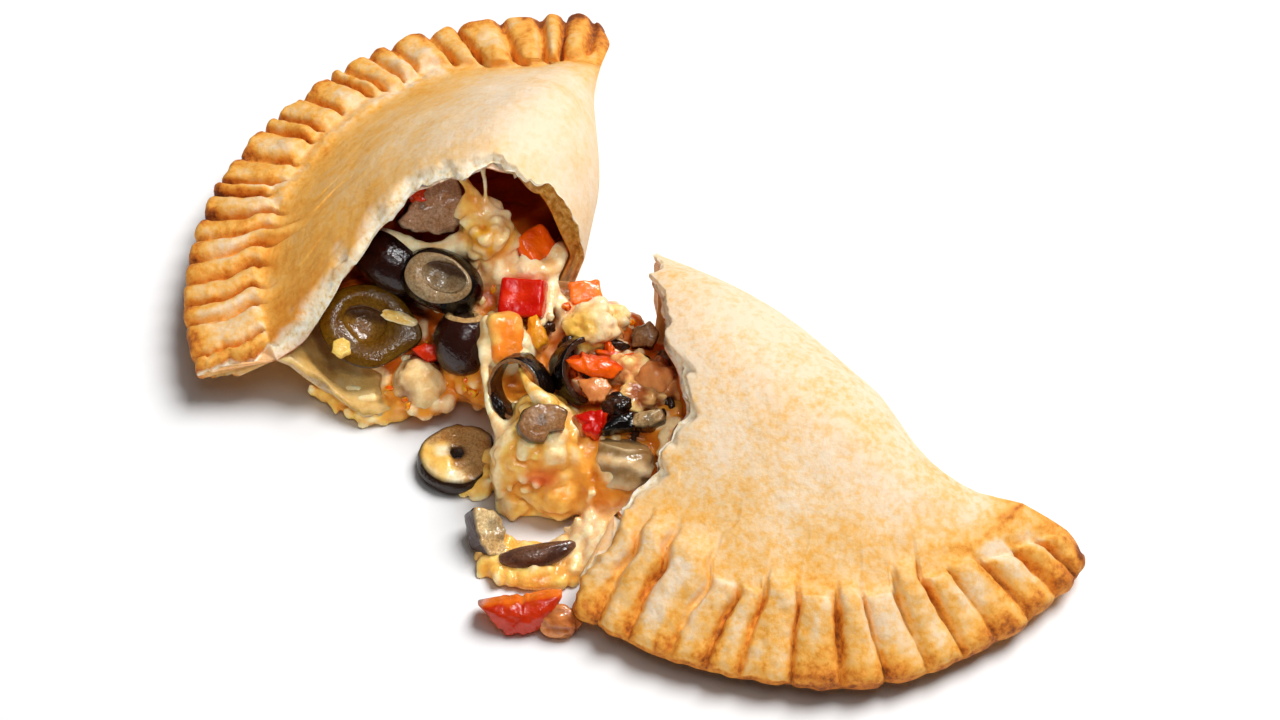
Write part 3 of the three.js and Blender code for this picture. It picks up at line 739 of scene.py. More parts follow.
def olive_ring(at, radius, hole, thick, pose, skin, flesh, pit=PIT, start=0, stop=360, coat=0.0, seed=0):
    """A slice across an olive or the part between two angles, with cheese on a share of its lower left."""
    edge = thick / 2
    rise = np.linspace(-1, 1, 9)
    flat = np.linspace(radius * 0.93, hole, 8)[1:-1]
    r = np.concatenate([radius * (1 - 0.07 * rise ** 2), flat, np.full(9, hole), flat[::-1]])
    z = np.concatenate([rise * edge, np.full(6, edge), -rise * edge, np.full(6, -edge)])
    zone = np.concatenate([np.zeros(9), np.ones(6), np.full(9, 1.8), np.ones(6)])
    angle = np.radians(np.linspace(start, stop, SIDES))[:, None]
    grid = np.stack(np.broadcast_arrays(r * np.cos(angle), r * np.sin(angle), z), -1)
    if stop - start < 360:
        ends = [np.broadcast_to(end.mean(axis=0), (1, r.size, 3)) for end in (grid[0], grid[-1])]
        grid = np.concatenate([ends[0], grid, ends[1]])
    points = grid.reshape(-1, 3)
    zones = np.tile(zone, len(grid))
    points = pushed(points, 0.8 * noise(points, 6, seed) + 0.25 * noise(points, 1.4, seed + 1))
    aside = points @ [-0.62, -0.78, 0] / radius + 0.55 * noise(points, 2.6, seed + 2)
    coated = coat * smooth((aside + 0.06) / 0.45) * smooth(points[:, 2] / edge + 0.2) * smooth(zones * 1.6)
    points[:, 2] += coated * (0.7 + 0.35 * noise(points, 1.8, seed + 3))
    milky = lerp(linear(CREAM), linear(WHITE_CHEESE), smooth(0.5 + noise(points, 2.6, seed + 4))[:, None])
    colours = lerp(by_zone(zones, skin, flesh, pit), milky, coated[:, None])
    bare = clamp01(zones) * (1 - 0.85 * coated)
    return part_of(points @ pose.T + at, grid_faces(len(grid), r.size), colours, bare)


def outline_radii(corners, angle):
    """Distance from the middle to an outline with these corners, at each angle."""
    corners = np.asarray(corners, float)
    k = np.linspace(0, 1, 20, endpoint=False)[:, None]
    edge = np.concatenate([lerp(a, b, k) for a, b in zip(corners, np.roll(corners, -1, axis=0))])
    x, y = edge.T
    return np.interp(angle, np.arctan2(y, x), np.hypot(x, y), period=2 * math.pi)


def chip(at, corners, thick, pose, skin, flesh, dome=0.12, rough=0.25, seed=0):
    """A cut piece with skin at its sides: corners outline its face, which bulges by a share of its size."""
    rings = np.concatenate([np.linspace(0, 0.9, 6), [0.95, 0.99, 1, 1, 0.99, 0.95], np.linspace(0.9, 0, 12)])
    level = np.concatenate([np.full(6, -1), [-0.9, -0.6, -0.25, 0.25, 0.6, 0.9], np.full(12, 1)])
    zone = np.concatenate([np.zeros(11), [0.55], np.ones(12)])
    angle = np.linspace(0, 2 * math.pi, SIDES, endpoint=False)
    circle = np.stack([np.cos(angle), np.sin(angle), np.zeros(SIDES)], -1)
    ragged = noise(circle, 0.5, seed + 4) + noise(circle, 0.2, seed + 5)
    spread = outline_radii(corners, angle) * (1 + 0.3 * rough * ragged)
    height = level * thick / 2 + np.where(level > 0.8, dome * spread.mean() * (1 - rings ** 2), 0)
    points = (revolved(rings, height) * np.stack([spread, spread, np.ones(SIDES)], -1)).reshape(-1, 3)
    zones = np.repeat(zone, SIDES)
    points = pushed(points, rough * (noise(points, 2.6, seed) + noise(points, 1.1, seed + 1)))
    points[:, 2] += rough * zones * (noise(points, 2.2, seed + 2) + 0.35 * noise(points, 0.9, seed + 3))
    tone = zones * (1 - 0.5 * smooth(1.8 * noise(points, 2.4, seed + 6) - 0.2))
    colours = by_zone(tone, skin, flesh, flesh)
    return part_of(points @ pose.T + at, grid_faces(len(rings), SIDES), colours, zones)


def cube_grid(steps=16):
    """Points and faces of a cube from -1 to 1 with its sides split evenly."""
    line = np.linspace(-1, 1, steps + 1)
    a, b = np.meshgrid(line, line, indexing="ij")
    points, faces = [], []
    for axis in range(3):
        for end in (-1, 1):
            side = np.stack([a, b], -1).reshape(-1, 2) * [1, end]
            faces.append(grid_faces(steps + 1, steps + 1, wrap=False) + len(points) * (steps + 1) ** 2)
            points.append(np.insert(side, axis, end, axis=1))
    return np.concatenate(points), np.concatenate(faces)


def dice(at, size, pose, skin, flesh, rounding=0.2, seed=0):
    """A diced piece with softened corners, whose skin shows on its +z side."""
    cube, faces = cube_grid()
    half = np.asarray(size) / 2
    corner = min(half) * rounding
    core = np.clip(cube * half, corner - half, half - corner)
    away = cube * half - core
    way = away / np.maximum(np.linalg.norm(away, axis=1, keepdims=True), 1e-6)
    points = (core + corner * way) * (1 + 0.12 * noise(cube, 2.3, seed)[:, None])
    uneven = 0.25 * noise(points, 2.6, seed + 1) + 0.15 * noise(points, 1.1, seed + 2)
    points = points + way * uneven[:, None]
    top = smooth((points[:, 2] / half[2] - 0.3) / 0.5)
    tone = clamp01(0.9 * top + 0.9 * noise(points, 2.4, seed + 3))[:, None]
    return part_of(points @ pose.T + at, faces, lerp(linear(flesh), linear(skin), tone), 1 - top)


def lump(at, size, pose, low, high, rough=0.14, stripes=0, bend=0.0, flat=1.5, steps=22, seed=0):
    """An uneven round piece, with one colour in its dips and one on its raised parts or in stripes.
    Without stripes this paints highlight on the rises and shade in the dips, besides the piece's own
    two tones; flat is the share of its height where its top is cut off."""
    cube, faces = cube_grid(steps)
    ball = cube / np.linalg.norm(cube, axis=1, keepdims=True)
    relief = 1.5 * noise(ball, 0.9, seed) + noise(ball, 0.4, seed + 1) + 0.4 * noise(ball, 0.2, seed + 3)
    wave = relief + 0.6 * noise(ball, 0.5, seed + 2)
    if stripes:
        wave = np.sin(stripes * (ball[:, 1] + 0.25 * ball[:, 0] ** 2 + 0.2 * noise(ball, 0.7, seed + 2)))
        relief = relief + 0.3 * wave
    points = ball * (1 + rough * relief)[:, None] * size
    over = np.maximum(points[:, 1] - flat * size[1], 0)
    points[:, 1] += bend * points[:, 0] ** 2 - 0.85 * over
    # raised parts lighter as painted highlight and dips darker as painted shade, unless stripes set the tone
    tone = (smooth(0.5 + 0.5 * wave) * (1 - smooth(3 * over)))[:, None]
    return part_of(points @ pose.T + at, faces, lerp(linear(low), linear(high), tone), np.ones(len(points)))


def curve_through(points, count):
    """Even points on a smooth curve through the given ones."""
    points = np.asarray(points, float)
    share = np.linspace(0, 1, count)
    return np.stack([along_knots(points[:, axis], share) for axis in range(points.shape[1])], 1)


# Melted cheese and sauce, as soft lumps that run together: centre, half sizes and colour
CHEESE_LUMPS = [
    ([-42, 15, 4.5], [15, 13, 5], SAUCE), ([-27, 19, 8], [10, 10, 7.6], SAUCE),
    ([-26, 5, 6], [12.5, 11, 8], GOLD_CHEESE), ([-9, 5, 7], [12, 11, 7], SAUCE),
    ([0, -7, 7.6], [11, 13, 7.6], SAUCE), ([-6, -17, 6], [10, 12, 7.4], GOLD_CHEESE),
    ([-18, -18.7, 8.8], [7.4, 7, 8.8], CREAM), ([-18, -14, 11], [6, 5.4, 6.8], CREAM),
    ([-11.6, -18.6, 8.4], [4.4, 4.4, 4.8], CREAM), ([-15, -24.8, 4.2], [5.8, 4.8, 4.8], CREAM),
    ([-23, -20.9, 6.4], [4.2, 4.8, 7.6], CREAM), ([-22.4, -25.4, 1], [4, 2.6, 1.8], CREAM),
    ([-28.8, 22, 21.4], [5.4, 4.4, 5.6], CREAM), ([-28, 22, 17], [5, 5, 5], GOLD_CHEESE),
    ([-28.4, 19.6, 23.4], [3.4, 2.8, 3.8], YELLOW), ([-31, 25, 25.6], [3, 2.6, 4], CREAM),
    ([-27.6, 17.6, 16.6], [4.2, 3.2, 2.8], WHITE_CHEESE), ([-17.4, 14.2, 13.6], [3.4, 3.2, 3], WHITE_CHEESE),
    ([-15.6, 20.6, 17.6], [2.2, 2.2, 2.6], WHITE_CHEESE), ([-20.4, 17.8, 17.6], [3, 1.8, 2], WHITE_CHEESE),
    ([-26.6, 2.2, 13.4], [4.2, 5.2, 5], CREAM), ([-28.4, 3.6, 15], [2.4, 3.2, 3.6], WHITE_CHEESE),
    ([-12, 10, 11], [5, 5, 4], GOLD_CHEESE), ([-21.8, 1.6, 14.4], [1.6, 4, 3.4], WHITE_CHEESE),
    ([-18.2, -25, 10], [2.6, 1.6, 2], TOMATO), ([-8.2, -22.3, 5.4], [4, 5, 4.4], CREAM),
    ([-7.4, -27, 2.4], [4.4, 5.4, 2.8], GOLD_CHEESE),
    ([-3, -33, 2.6], [8.4, 8.4, 3.8], WHITE_CHEESE), ([-10, -35.4, 1.2], [6.4, 5, 1.9], WHITE_CHEESE),
    ([-19, -39.2, 1], [9, 5.4, 1.9], CREAM), ([-26.4, -36.4, 1], [4.4, 5, 1.9], CREAM),
    ([-28.2, -17.6, 1.4], [4.4, 4.4, 2], CREAM), ([-30.6, -20.4, 0.8], [4, 2.6, 1.6], CREAM),
    ([-58, 0.8, 1.2], [4.6, 2.6, 1.7], CREAM), ([-54.4, -1.8, 1], [4.6, 2.6, 1.6], CREAM),
    ([-50.3, -3.8, 1], [4.6, 2.6, 1.7], CREAM), ([-46, -3.4, 1.2], [4, 2.8, 2], CREAM),
    ([-41, -1, 3.2], [7.4, 5.4, 3.2], GOLD_CHEESE), ([12, -14, 9], [13, 11, 7], GOLD_CHEESE),
]
# Strings of cheese: points along each, its radius at each of them and its colour
CHEESE_STRINGS = [
    ([[-28.4, 4, 18.2], [-29, -3, 15.5], [-28, -11, 13], [-25, -16.5, 11.5]],
     [1.2, 0.7, 0.8, 1.8], WHITE_CHEESE),
    ([[-22.4, -5.4, 17.8], [-21.6, -9, 19.4], [-19.4, -13.2, 20], [-16.8, -15.4, 19]],
     [0.5, 0.6, 1.3, 2], CREAM),
    ([[-50.6, 24.4, 20], [-45.2, 21.6, 20.8], [-39.5, 19.2, 20.8], [-34.3, 20.6, 20]],
     [1, 1.3, 1.4, 2.4], WHITE_CHEESE),
    ([[-26, 16.6, 17], [-21.5, 15.8, 17.8], [-17, 16.6, 17.6], [-15.4, 19.6, 18.4]],
     [1.6, 1.3, 1.7, 1.5], WHITE_CHEESE),
    ([[-34.4, 29.8, 31], [-31.6, 26.8, 28.6], [-29.6, 23.4, 24]], [0.9, 1.0, 2.2], CREAM),
    ([[-29.6, 29, 34.6], [-29, 26.4, 30], [-28.6, 23.4, 25]], [0.6, 0.46, 1.0], WHITE_CHEESE),
    ([[-17.4, 12.6, 16], [-17, 8.4, 16.6], [-18.6, 5.6, 16]], [0.9, 0.7, 0.8], WHITE_CHEESE),
]
CHEESE_STEP = 0.42  # size of the cells in which its surface is found
MELT = 1.6  # width over which lumps run together
THIN_MELT = 0.05  # the same along a string
CREASE_SHADE_TINT = np.array([0.9, 0.7, 0.46])  # how much darker the cheese is painted in its creases, as painted shade
SHRUNK = -0.2  # how far the bed has settled below its lumps' own size


def ellipsoid_distance(points, at, size):
    local = (points - at) / size
    k0 = np.linalg.norm(local, axis=-1)
    k1 = np.linalg.norm(local / size, axis=-1)
    return k0 * (k0 - 1) / np.maximum(k1, 1e-6)


def string_balls():
    """The strings as rows of small balls, each a lump of its own."""
    balls = []
    for path, radii, tint in CHEESE_STRINGS:
        for x, y, z, r in curve_through(np.column_stack([path, radii]), 40):
            balls.append(([x, y, z], [r, r, r], tint))
    return balls


def joined(first, second, melt):
    """Two distance fields run together over a width of melt."""
    blend = clamp01(0.5 + 0.5 * (first - second) / melt)
    return lerp(first, second, blend) - melt * blend * (1 - blend)


def lump_field(axes, lumps, melt, reach):
    """Distance to a row of lumps that run together, up to a reach past them."""
    field = np.full([len(axis) for axis in axes], reach)
    for at, size, _ in lumps:
        at, size = np.array(at), np.array(size)
        spans = tuple(slice(*np.searchsorted(axis, [a - s - reach, a + s + reach]))
                      for axis, a, s in zip(axes, at, size))
        near = np.stack(np.meshgrid(*[axis[span] for axis, span in zip(axes, spans)], indexing="ij"), -1)
        field[spans] = joined(field[spans], ellipsoid_distance(near, at, size), melt)
    return field


def surface_nets(field, low, step):
    """Points and faces of the surface where a field on a grid passes through zero."""
    cells = tuple(n - 1 for n in field.shape)
    total, count = np.zeros(cells + (3,)), np.zeros(cells)
    inside = field < 0
    crossings = []
    for axis in range(3):
        first = [slice(None)] * 3
        second = [slice(None)] * 3
        first[axis], second[axis] = slice(0, -1), slice(1, None)
        a, b = field[tuple(first)], field[tuple(second)]
        crossing = inside[tuple(first)] != inside[tuple(second)]
        crossings.append((crossing, inside[tuple(first)]))
        share = np.where(crossing, a / np.where(a == b, 1, a - b), 0)
        others = [other for other in range(3) if other != axis]
        for shift in itertools.product((0, 1), repeat=2):
            window = [slice(None)] * 3
            for other, offset in zip(others, shift):
                window[other] = slice(offset, field.shape[other] - 1 + offset)
            met = crossing[tuple(window)]
            count += met
            total[..., axis] += share[tuple(window)] * met
            for other, offset in zip(others, shift):
                total[..., other] += offset * met
    active = count > 0
    number = np.full(cells, -1)
    number[active] = np.arange(active.sum())
    corner = np.stack(np.nonzero(active), -1)
    points = low + step * (corner + total[active] / count[active][:, None])
    faces = []
    for axis, (crossing, starts_inside) in enumerate(crossings):
        others = [other for other in range(3) if other != axis]
        at = np.stack(np.nonzero(crossing), -1)
        at = at[np.all((at[:, others] > 0) & (at[:, others] < np.array(cells)[others]), axis=1)]
        ring = []
        for shift in ((1, 1), (0, 1), (0, 0), (1, 0)):
            cell = at.copy()
            cell[:, others] -= shift
            ring.append(number[tuple(cell.T)])
        ring = np.stack(ring, -1)
        turned = starts_inside[tuple(at.T)] != (axis == 1)
        faces.append(np.where(turned[:, None], ring, ring[:, ::-1]))
    return points, np.concatenate(faces)


def largest_body(points, faces):
    """The points and faces of the one connected body with the most points."""
    label = np.arange(len(points))
    while True:
        joined_up = label.copy()
        np.minimum.at(joined_up, faces.ravel(), np.repeat(label[faces].min(axis=1), 4))
        joined_up = joined_up[joined_up]
        if np.array_equal(joined_up, label):
            break
        label = joined_up
    kept = label == np.bincount(label).argmax()
    number = np.cumsum(kept) - 1
    return points[kept], number[faces[kept[faces[:, 0]]]]


def curd_relief(points):
    """How far the cheese dips at points, below 0 where a curd stands out between creases."""
    large, small = np.abs(noise(points, 5.2, 21)), np.abs(noise(points, 2.4, 22))
    return 0.85 - 1.5 * large - 1.3 * small + 0.2 * noise(points, 1.4, 23)


def cheese_part():
    lumps, strings = CHEESE_LUMPS, string_balls()
    margin = 4.0
    low = np.min([np.subtract(at, size) for at, size, _ in lumps + strings], axis=0) - margin
    high = np.max([np.add(at, size) for at, size, _ in lumps + strings], axis=0) + margin
    low[2] = -1.0
    axes = [np.arange(a, b, CHEESE_STEP) for a, b in zip(low, high)]
    everywhere = np.stack(np.meshgrid(*axes, indexing="ij"), -1)
    curds = curd_relief(everywhere)
    field = lump_field(axes, lumps, MELT, margin) + SHRUNK + curds
    field = joined(field, lump_field(axes, strings, THIN_MELT, margin) + 0.2 * curds, MELT)
    field = np.maximum(field, -everywhere[..., 2])
    points, faces = largest_body(*surface_nets(field, low, CHEESE_STEP))
    weights, colours = np.zeros(len(points)), np.zeros((len(points), 3))
    for at, size, tint in lumps + strings:
        weight = np.exp(-np.maximum(ellipsoid_distance(points, np.array(at), np.array(size)), -1.5) * 1.4)
        weights += weight
        colours += weight[:, None] * linear(tint)
    colours = colours / weights[:, None]
    # Curds that stand out are whitened, partly as paler curds and partly as painted highlight; creases are
    # darkened with the crease tint as painted shade
    dip = curd_relief(points) + 0.25 * noise(points, 3.1, 24)
    pale = 0.7 * smooth(-1.5 * dip)[:, None]
    crease_shade = smooth(1.3 * dip + 0.1)[:, None]
    colours = lerp(lerp(colours, linear(WHITE_CHEESE), pale), colours * CREASE_SHADE_TINT, crease_shade)
    return part_of(points, faces, colours, np.ones(len(points)))


def stuffing_part(half):
    """The filling that lies inside a half, behind what shows at its mouth."""
    b = np.concatenate([np.linspace(0, 1, STUFFING_ROWS), np.linspace(1, 0, STUFFING_ROWS)[1:-1]])[None, :]
    side = np.concatenate([np.ones(STUFFING_ROWS), -np.ones(STUFFING_ROWS - 2)])[None, :]
    t = np.linspace(HOLLOW_START + 0.04, 1, STUFFING_COLUMNS)[:, None]
    grid = hollow_points(half, t, b, side, SETTLED, half.fill_at_mouth, half.recess)
    end = grid[-1].mean(axis=0)
    grid = np.concatenate([grid, np.broadcast_to(end, (1,) + grid.shape[1:])])
    points = to_layout(half, grid.reshape(-1, 3))
    faces = grid_faces(len(grid), b.size)
    return part_of(points, faces, np.broadcast_to(linear(SAUCE), points.shape), np.ones(len(points)))


EVERYWHERE = [(-70, -8, 5), (70, 60, 17)]  # low and high corners of where crumbs of filling are strewn
BY_THE_RIGHT = [(-13, -20, 8), (9, 6, 20)]
CRUMB = [(0.4, 0.4, 0.4), (1.1, 1.1, 1.1)]  # smallest and largest half sizes
SHARD = [(1.6, 0.6, 0.6), (3.2, 1.3, 1.0)]
SEEN = 0.6  # how squarely the cheese faces the camera where small pieces lie


def bits(bed, count, sizes, zone, low, high, seed):
    """Small pieces strewn over the top of the cheese bed within a zone."""
    rng = np.random.default_rng(seed)
    a, b, c, _ = np.moveaxis(bed["points"][bed["faces"]], 1, 0)
    normals = np.cross(b - a, c - a)
    towards = np.abs(normals @ VIEW[:, 2]) / np.maximum(np.linalg.norm(normals, axis=1), 1e-9)
    in_zone = np.all((a > zone[0]) & (a < zone[1]), axis=1)
    return [
        lump(a[i], rng.uniform(*sizes), facing(rng.uniform(0, 360)), low, high, 0.15, steps=8, seed=seed + k)
        for k, i in enumerate(rng.choice(np.flatnonzero(in_zone & (towards > SEEN)), count, replace=False))
    ]


def olive_parts():
    slice_outline = [(4.3, 6.2), (6.4, 0), (5.6, -3.8), (2.4, -5.8), (-4.1, -4.5), (-7.1, -3.2),
                     (-4.5, 0.2), (-4.1, 3.8), (-0.4, 6.5)]
    chunk_outline = [(-4.7, -0.8), (-3.7, 1.8), (-1.1, 3.5), (2.7, 3.7), (4.7, 2.4), (4.5, -0.8),
                     (1.5, -1.6), (0.8, -3.9), (-2.1, -3.7), (-4, -2.7)]
    skin_outline = [(-3.4, -1.4), (-1.6, 1.4), (2.6, 1.8), (2.4, -1.4)]
    grey_outline = [(-3.4, -1), (-2.4, 1.4), (3, 1.8), (3.4, -0.6), (1, -1.6)]
    strip_outline = [(-3, 5), (1.8, 4.6), (3, 2.5), (3, -4.9), (-0.9, -3.6), (-2.8, 0.1)]
    bit_outline = [(-2.7, -1.5), (-1.9, 1.9), (1.4, 2.6), (2.7, 0.4), (1.2, -2.1)]
    return [
        cut_olive([-50.5, 7.8, 12], [9.8, 8, 7], facing(-12, 10), GREEN_SKIN, GREEN_FLESH, GREEN_PIT,
                  pit_size=0.42, pit_depth=0.25, pit_at=(-0.14, 0.05), taper=0.4, seed=30),
        cut_olive([-37.3, 13.6, 18.4], [8.6, 5.9, 6], facing(-20, 8, -8), BLACK_SKIN, FACE_FLESH, FACE_PIT,
                  cut=0.64, pit_size=0.6, pit_depth=0.16, pit_at=(0.12, 0.14), seed=33),
        lump([-46.6, 19, 16.6], [9, 5.4, 5.6], facing(-30), BLACK_SKIN, PURPLE_SKIN, 0.04, seed=34),
        chip([-39, 26.4, 25.2], slice_outline, 4.4, facing(0, -6, 8), BLACK_SKIN, SLICE_FLESH, seed=36),
        cut_olive([-33.4, 3.8, 12.8], [5.2, 6.2, 6.6], facing(15, 74, 14), PURPLE_SKIN, TAN_FLESH,
                  cut=0.72, seed=39),
        olive_ring([-34.2, -15.2, 1.8], 7.3, 1.1, 2.8, LYING, RING_SKIN, RING_FLESH, DARK_FLESH,
                   coat=1, seed=42),
        olive_ring([-22.4, -8.4, 15], 6, 4.9, 5.4, facing(0, -10, -26), BLACK_SKIN, BROWN_FLESH, DARK_FLESH,
                   seed=45),
        olive_ring([-9.8, -5, 15.2], 6.8, 5.4, 6, facing(0, 6, 24), BLACK_SKIN, DARK_FLESH, PURPLE_SKIN,
                   start=105, stop=255, seed=48),
        chip([-3.6, -17.6, 16], skin_outline, 3, facing(6, 20), BLACK_SKIN, BLACK_SKIN, 0.3, seed=50),
        chip([1.4, -16.8, 15.6], grey_outline, 4, facing(6, 20), BLACK_SKIN, GREY_FLESH, 0.3, seed=52),
        lump([-3.2, -25.4, 6.4], [3.8, 2.4, 2.4], facing(-20), BLACK_SKIN, DARK_FLESH, seed=56),
        chip([-18.2, -19.4, 18.9], chunk_outline, 4.4, facing(-6, 8, 8), BLACK_SKIN, BROWN_FLESH,
             rough=0.12, seed=57),
        chip([-28.4, -34.2, 3.2], strip_outline, 4.6, facing(0, 12, 28), STRIP_SKIN, STRIP_FLESH,
             0.06, seed=60),
        # A crescent of olive skin, with painted sheen on its raised parts
        lump([-19, -38.4, 3.2], [7, 2.3, 2.2], facing(10, 14), CRESCENT_DARK, CRESCENT_PAINTED_SHEEN, 0.04,
             bend=0.018, seed=63),
        chip([0.9, 3.2, 14.4], bit_outline, 4, facing(10, 10), BLACK_SKIN, BROWN_FLESH, 0.2, seed=66),
        lump([0.5, -2.1, 13.8], [1.7, 1.8, 1.8], facing(), BLACK_SKIN, PURPLE_SKIN, 0.2, seed=67),
        lump([4.4, -1.5, 13], [2.2, 2.2, 2], facing(), BLACK_SKIN, BROWN_FLESH, 0.2, seed=68),
        lump([-4.3, -13.8, 16.4], [2.8, 2, 2], facing(), DARK_FLESH, BLACK_SKIN, 0.2, seed=69),
        lump([-26.3, -11.3, 13], [1.2, 2.6, 1.4], facing(24), BLACK_SKIN, PURPLE_SKIN, seed=72),
        lump([-13.6, 1, 14.2], [1.6, 3.2, 2.4], facing(-14), BLACK_SKIN, PURPLE_SKIN, 0.2, seed=75),
        lump([-17.6, 5.8, 14.6], [1.4, 1.2, 1.4], facing(), BLACK_SKIN, DARK_FLESH, 0.2, seed=76),
        dice([-14.7, 14.8, 14.6], [3.6, 2.6, 3.4], facing(-8), BROWN_FLESH, BROWN_CUBE, seed=78),
    ]


def pepper_parts():
    tomato_outline = [(-5.6, 1.7), (-2, 2.8), (2.6, 2.4), (6, 0.6), (4.4, -1.3), (0.8, -1.4), (-3.2, -0.2)]
    wedge_outline = [(-7.9, 1.5), (-1.3, 2.6), (7.9, 4.1), (4.9, -2.3), (2.8, -3.1), (-3.3, -4.1),
                     (-5.9, -1.5)]
    amber_outline = [(-1.9, 2.8), (0, 3.4), (2.3, -1.6), (0.3, -3.4), (-1.8, -1.5)]
    bit_outline = [(-3.5, 1.6), (-0.5, 2.4), (2.9, 2.2), (2.4, 0), (0.6, -2.2), (-1.8, -1.8)]
    red_outline = [(-3.2, 0.4), (-0.6, 1.9), (1.4, 1.2), (3.4, -0.6), (0.2, -1.9)]
    crumb_outline = [(1.9, 0.6), (0.7, 1.9), (-1.2, 1.5), (-2, -0.5), (-0.4, -2.1), (1.6, -1.3)]
    return [
        dice([-21.8, 10.4, 17.2], [8, 7, 6.6], facing(-4, 6, -7), RED, LIGHT_RED, 0.1, seed=80),
        dice([-10.5, 13.4, 14.4], [6.2, 4.6, 4.6], facing(6, 16, 10), ORANGE, LIGHT_ORANGE, seed=83),
        dice([-20.2, 21.6, 18.4], [7, 6.4, 6.6], facing(30, 14, 20), ORANGE, TOMATO, 0.35, seed=86),
        dice([-25.2, 1.6, 16.4], [6.2, 9.6, 6.6], facing(6, 0, 12), LIGHT_ORANGE, CREAM, 0.55, seed=92),
        chip([-19.1, 3.6, 15.4], amber_outline, 4, facing(0, 10, -10), AMBER, AMBER, 0.3, seed=95),
        chip([-8.8, -6.4, 18], tomato_outline, 4, facing(-4, -8), TOMATO, ORANGE, 0.25, 0.3, seed=98),
        chip([-8.4, -16.9, 14.4], bit_outline, 4, facing(0, 14), TOMATO, RED, 0.3, 0.4, seed=101),
        chip([-40, 3.4, 9.4], red_outline, 3.6, facing(-5, 10), RED, LIGHT_RED, 0.3, seed=104),
        lump([-41.6, 27, 27.6], [2.4, 2.2, 1.6], facing(), DEEP_TOMATO, TOMATO, 0.2, seed=105),
        chip([-21.4, -49.8, 2.3], wedge_outline, 4.6, facing(0, -18), WEDGE_SKIN, WEDGE_FLESH, 0.3, 0.28,
             seed=107),
        lump([-14.6, -51.6, 2.4], [4.4, 3, 2.8], facing(-14, 10), BROWN_ONION, PINK_ONION, 0.12, seed=110),
        chip([-56, 1.6, 13.6], crumb_outline, 1.6, facing(12, 14), CREAM, YELLOW_CRUMB, 0.12, 0.12, seed=113),
    ]


def onion_parts():
    chip_outline = [(-3.4, 1.8), (1.5, 2.4), (3.4, 0.5), (2, -2.4), (-1, -2.6), (-2.2, -0.6)]
    return [
        lump([-9.5, 4.7, 15.6], [5.6, 4.6, 4.2], facing(15), WARM_ONION, WHITE_CHEESE, 0.18, seed=120),
        lump([-4.9, 8, 13.4], [3.6, 3.2, 3], facing(), CLEAR_ONION, WHITE_CHEESE, 0.24, seed=121),
        lump([-1.9, -5.3, 15.6], [4, 3.8, 3.4], facing(), PINK_ONION, CLEAR_ONION, 0.22, seed=123),
        chip([-8.4, -10.2, 16.6], chip_outline, 3, facing(0, 10), BROWN_ONION, PINK_ONION, 0.2, 0.2,
             seed=124),
        lump([2.8, -6.7, 15.4], [3.8, 4.4, 3.4], facing(20), BROWN_ONION, PINK_ONION, 0.22, seed=126),
        lump([6, -9, 13.8], [3.4, 4.6, 3.4], facing(-10), BROWN_ONION, PINK_ONION, 0.22, seed=127),
        lump([0, -11.4, 15.6], [4.6, 3, 3], facing(-12), BROWN_ONION, CLEAR_ONION, 0.22, seed=129),
        lump([-41.3, -0.6, 5.4], [5, 5.2, 4.4], facing(20), TAN_DARK, TAN_LIGHT, 0.1, seed=132),
        lump([-3, -22, 10.4], [6.2, 5.8, 5.4], facing(-10, -16), STRIPE_DARK, STRIPE_LIGHT, 0.12,
             stripes=8, flat=0.6, seed=54),
        # A pale cream smear on the green olive, put where it shines: a painted highlight
        lump([-45.4, 8.9, 13.2], [3.6, 1.2, 0.7], facing(-18, 14), CREAM, WHITE_CHEESE, 0.1, seed=135),
    ]


WHITE, DULLED = (255, 255, 255), (238, 214, 186)


def food_material(name, roughness, scatter, fibre, curds):
    """Wet food in its pieces' own colours: fibre is the grain of cut faces, curds the depth of lumps."""
    n = Nodes(name)
    own, flesh = n.attribute("colour", "Color"), n.attribute("flesh")
    mottle = n.ramp(n.noise(2.6, 4), [(0.32, DULLED), (0.6, WHITE)])
    grain = n.noise(0.5, 5, roughness=0.75)
    dusk = 255 - 80 * fibre
    speckle = n.ramp(grain, [(0.34, (dusk, dusk - 10, dusk - 18)), (0.66, WHITE)])
    mottled = n.mix(1.0, own, mottle, "MULTIPLY")
    base = n.mix(flesh, mottled, n.mix(1.0, mottled, speckle, "MULTIPLY"))
    fine = n.bump(n.noise(0.6, 2), 0.06 + 0.05 * fibre)
    relief = n.bump(n.noise(1.5, 3), 0.1 + curds, fine)
    shine = n.spread(n.noise(1.3, 2), 0.3, 0.7, roughness, roughness + 0.15)
    return n.surface(base, relief, Roughness=shine, Subsurface_Weight=scatter,
                     Subsurface_Radius=(0.003, 0.0016, 0.0007), Subsurface_Scale=0.9, Specular_IOR_Level=0.5)


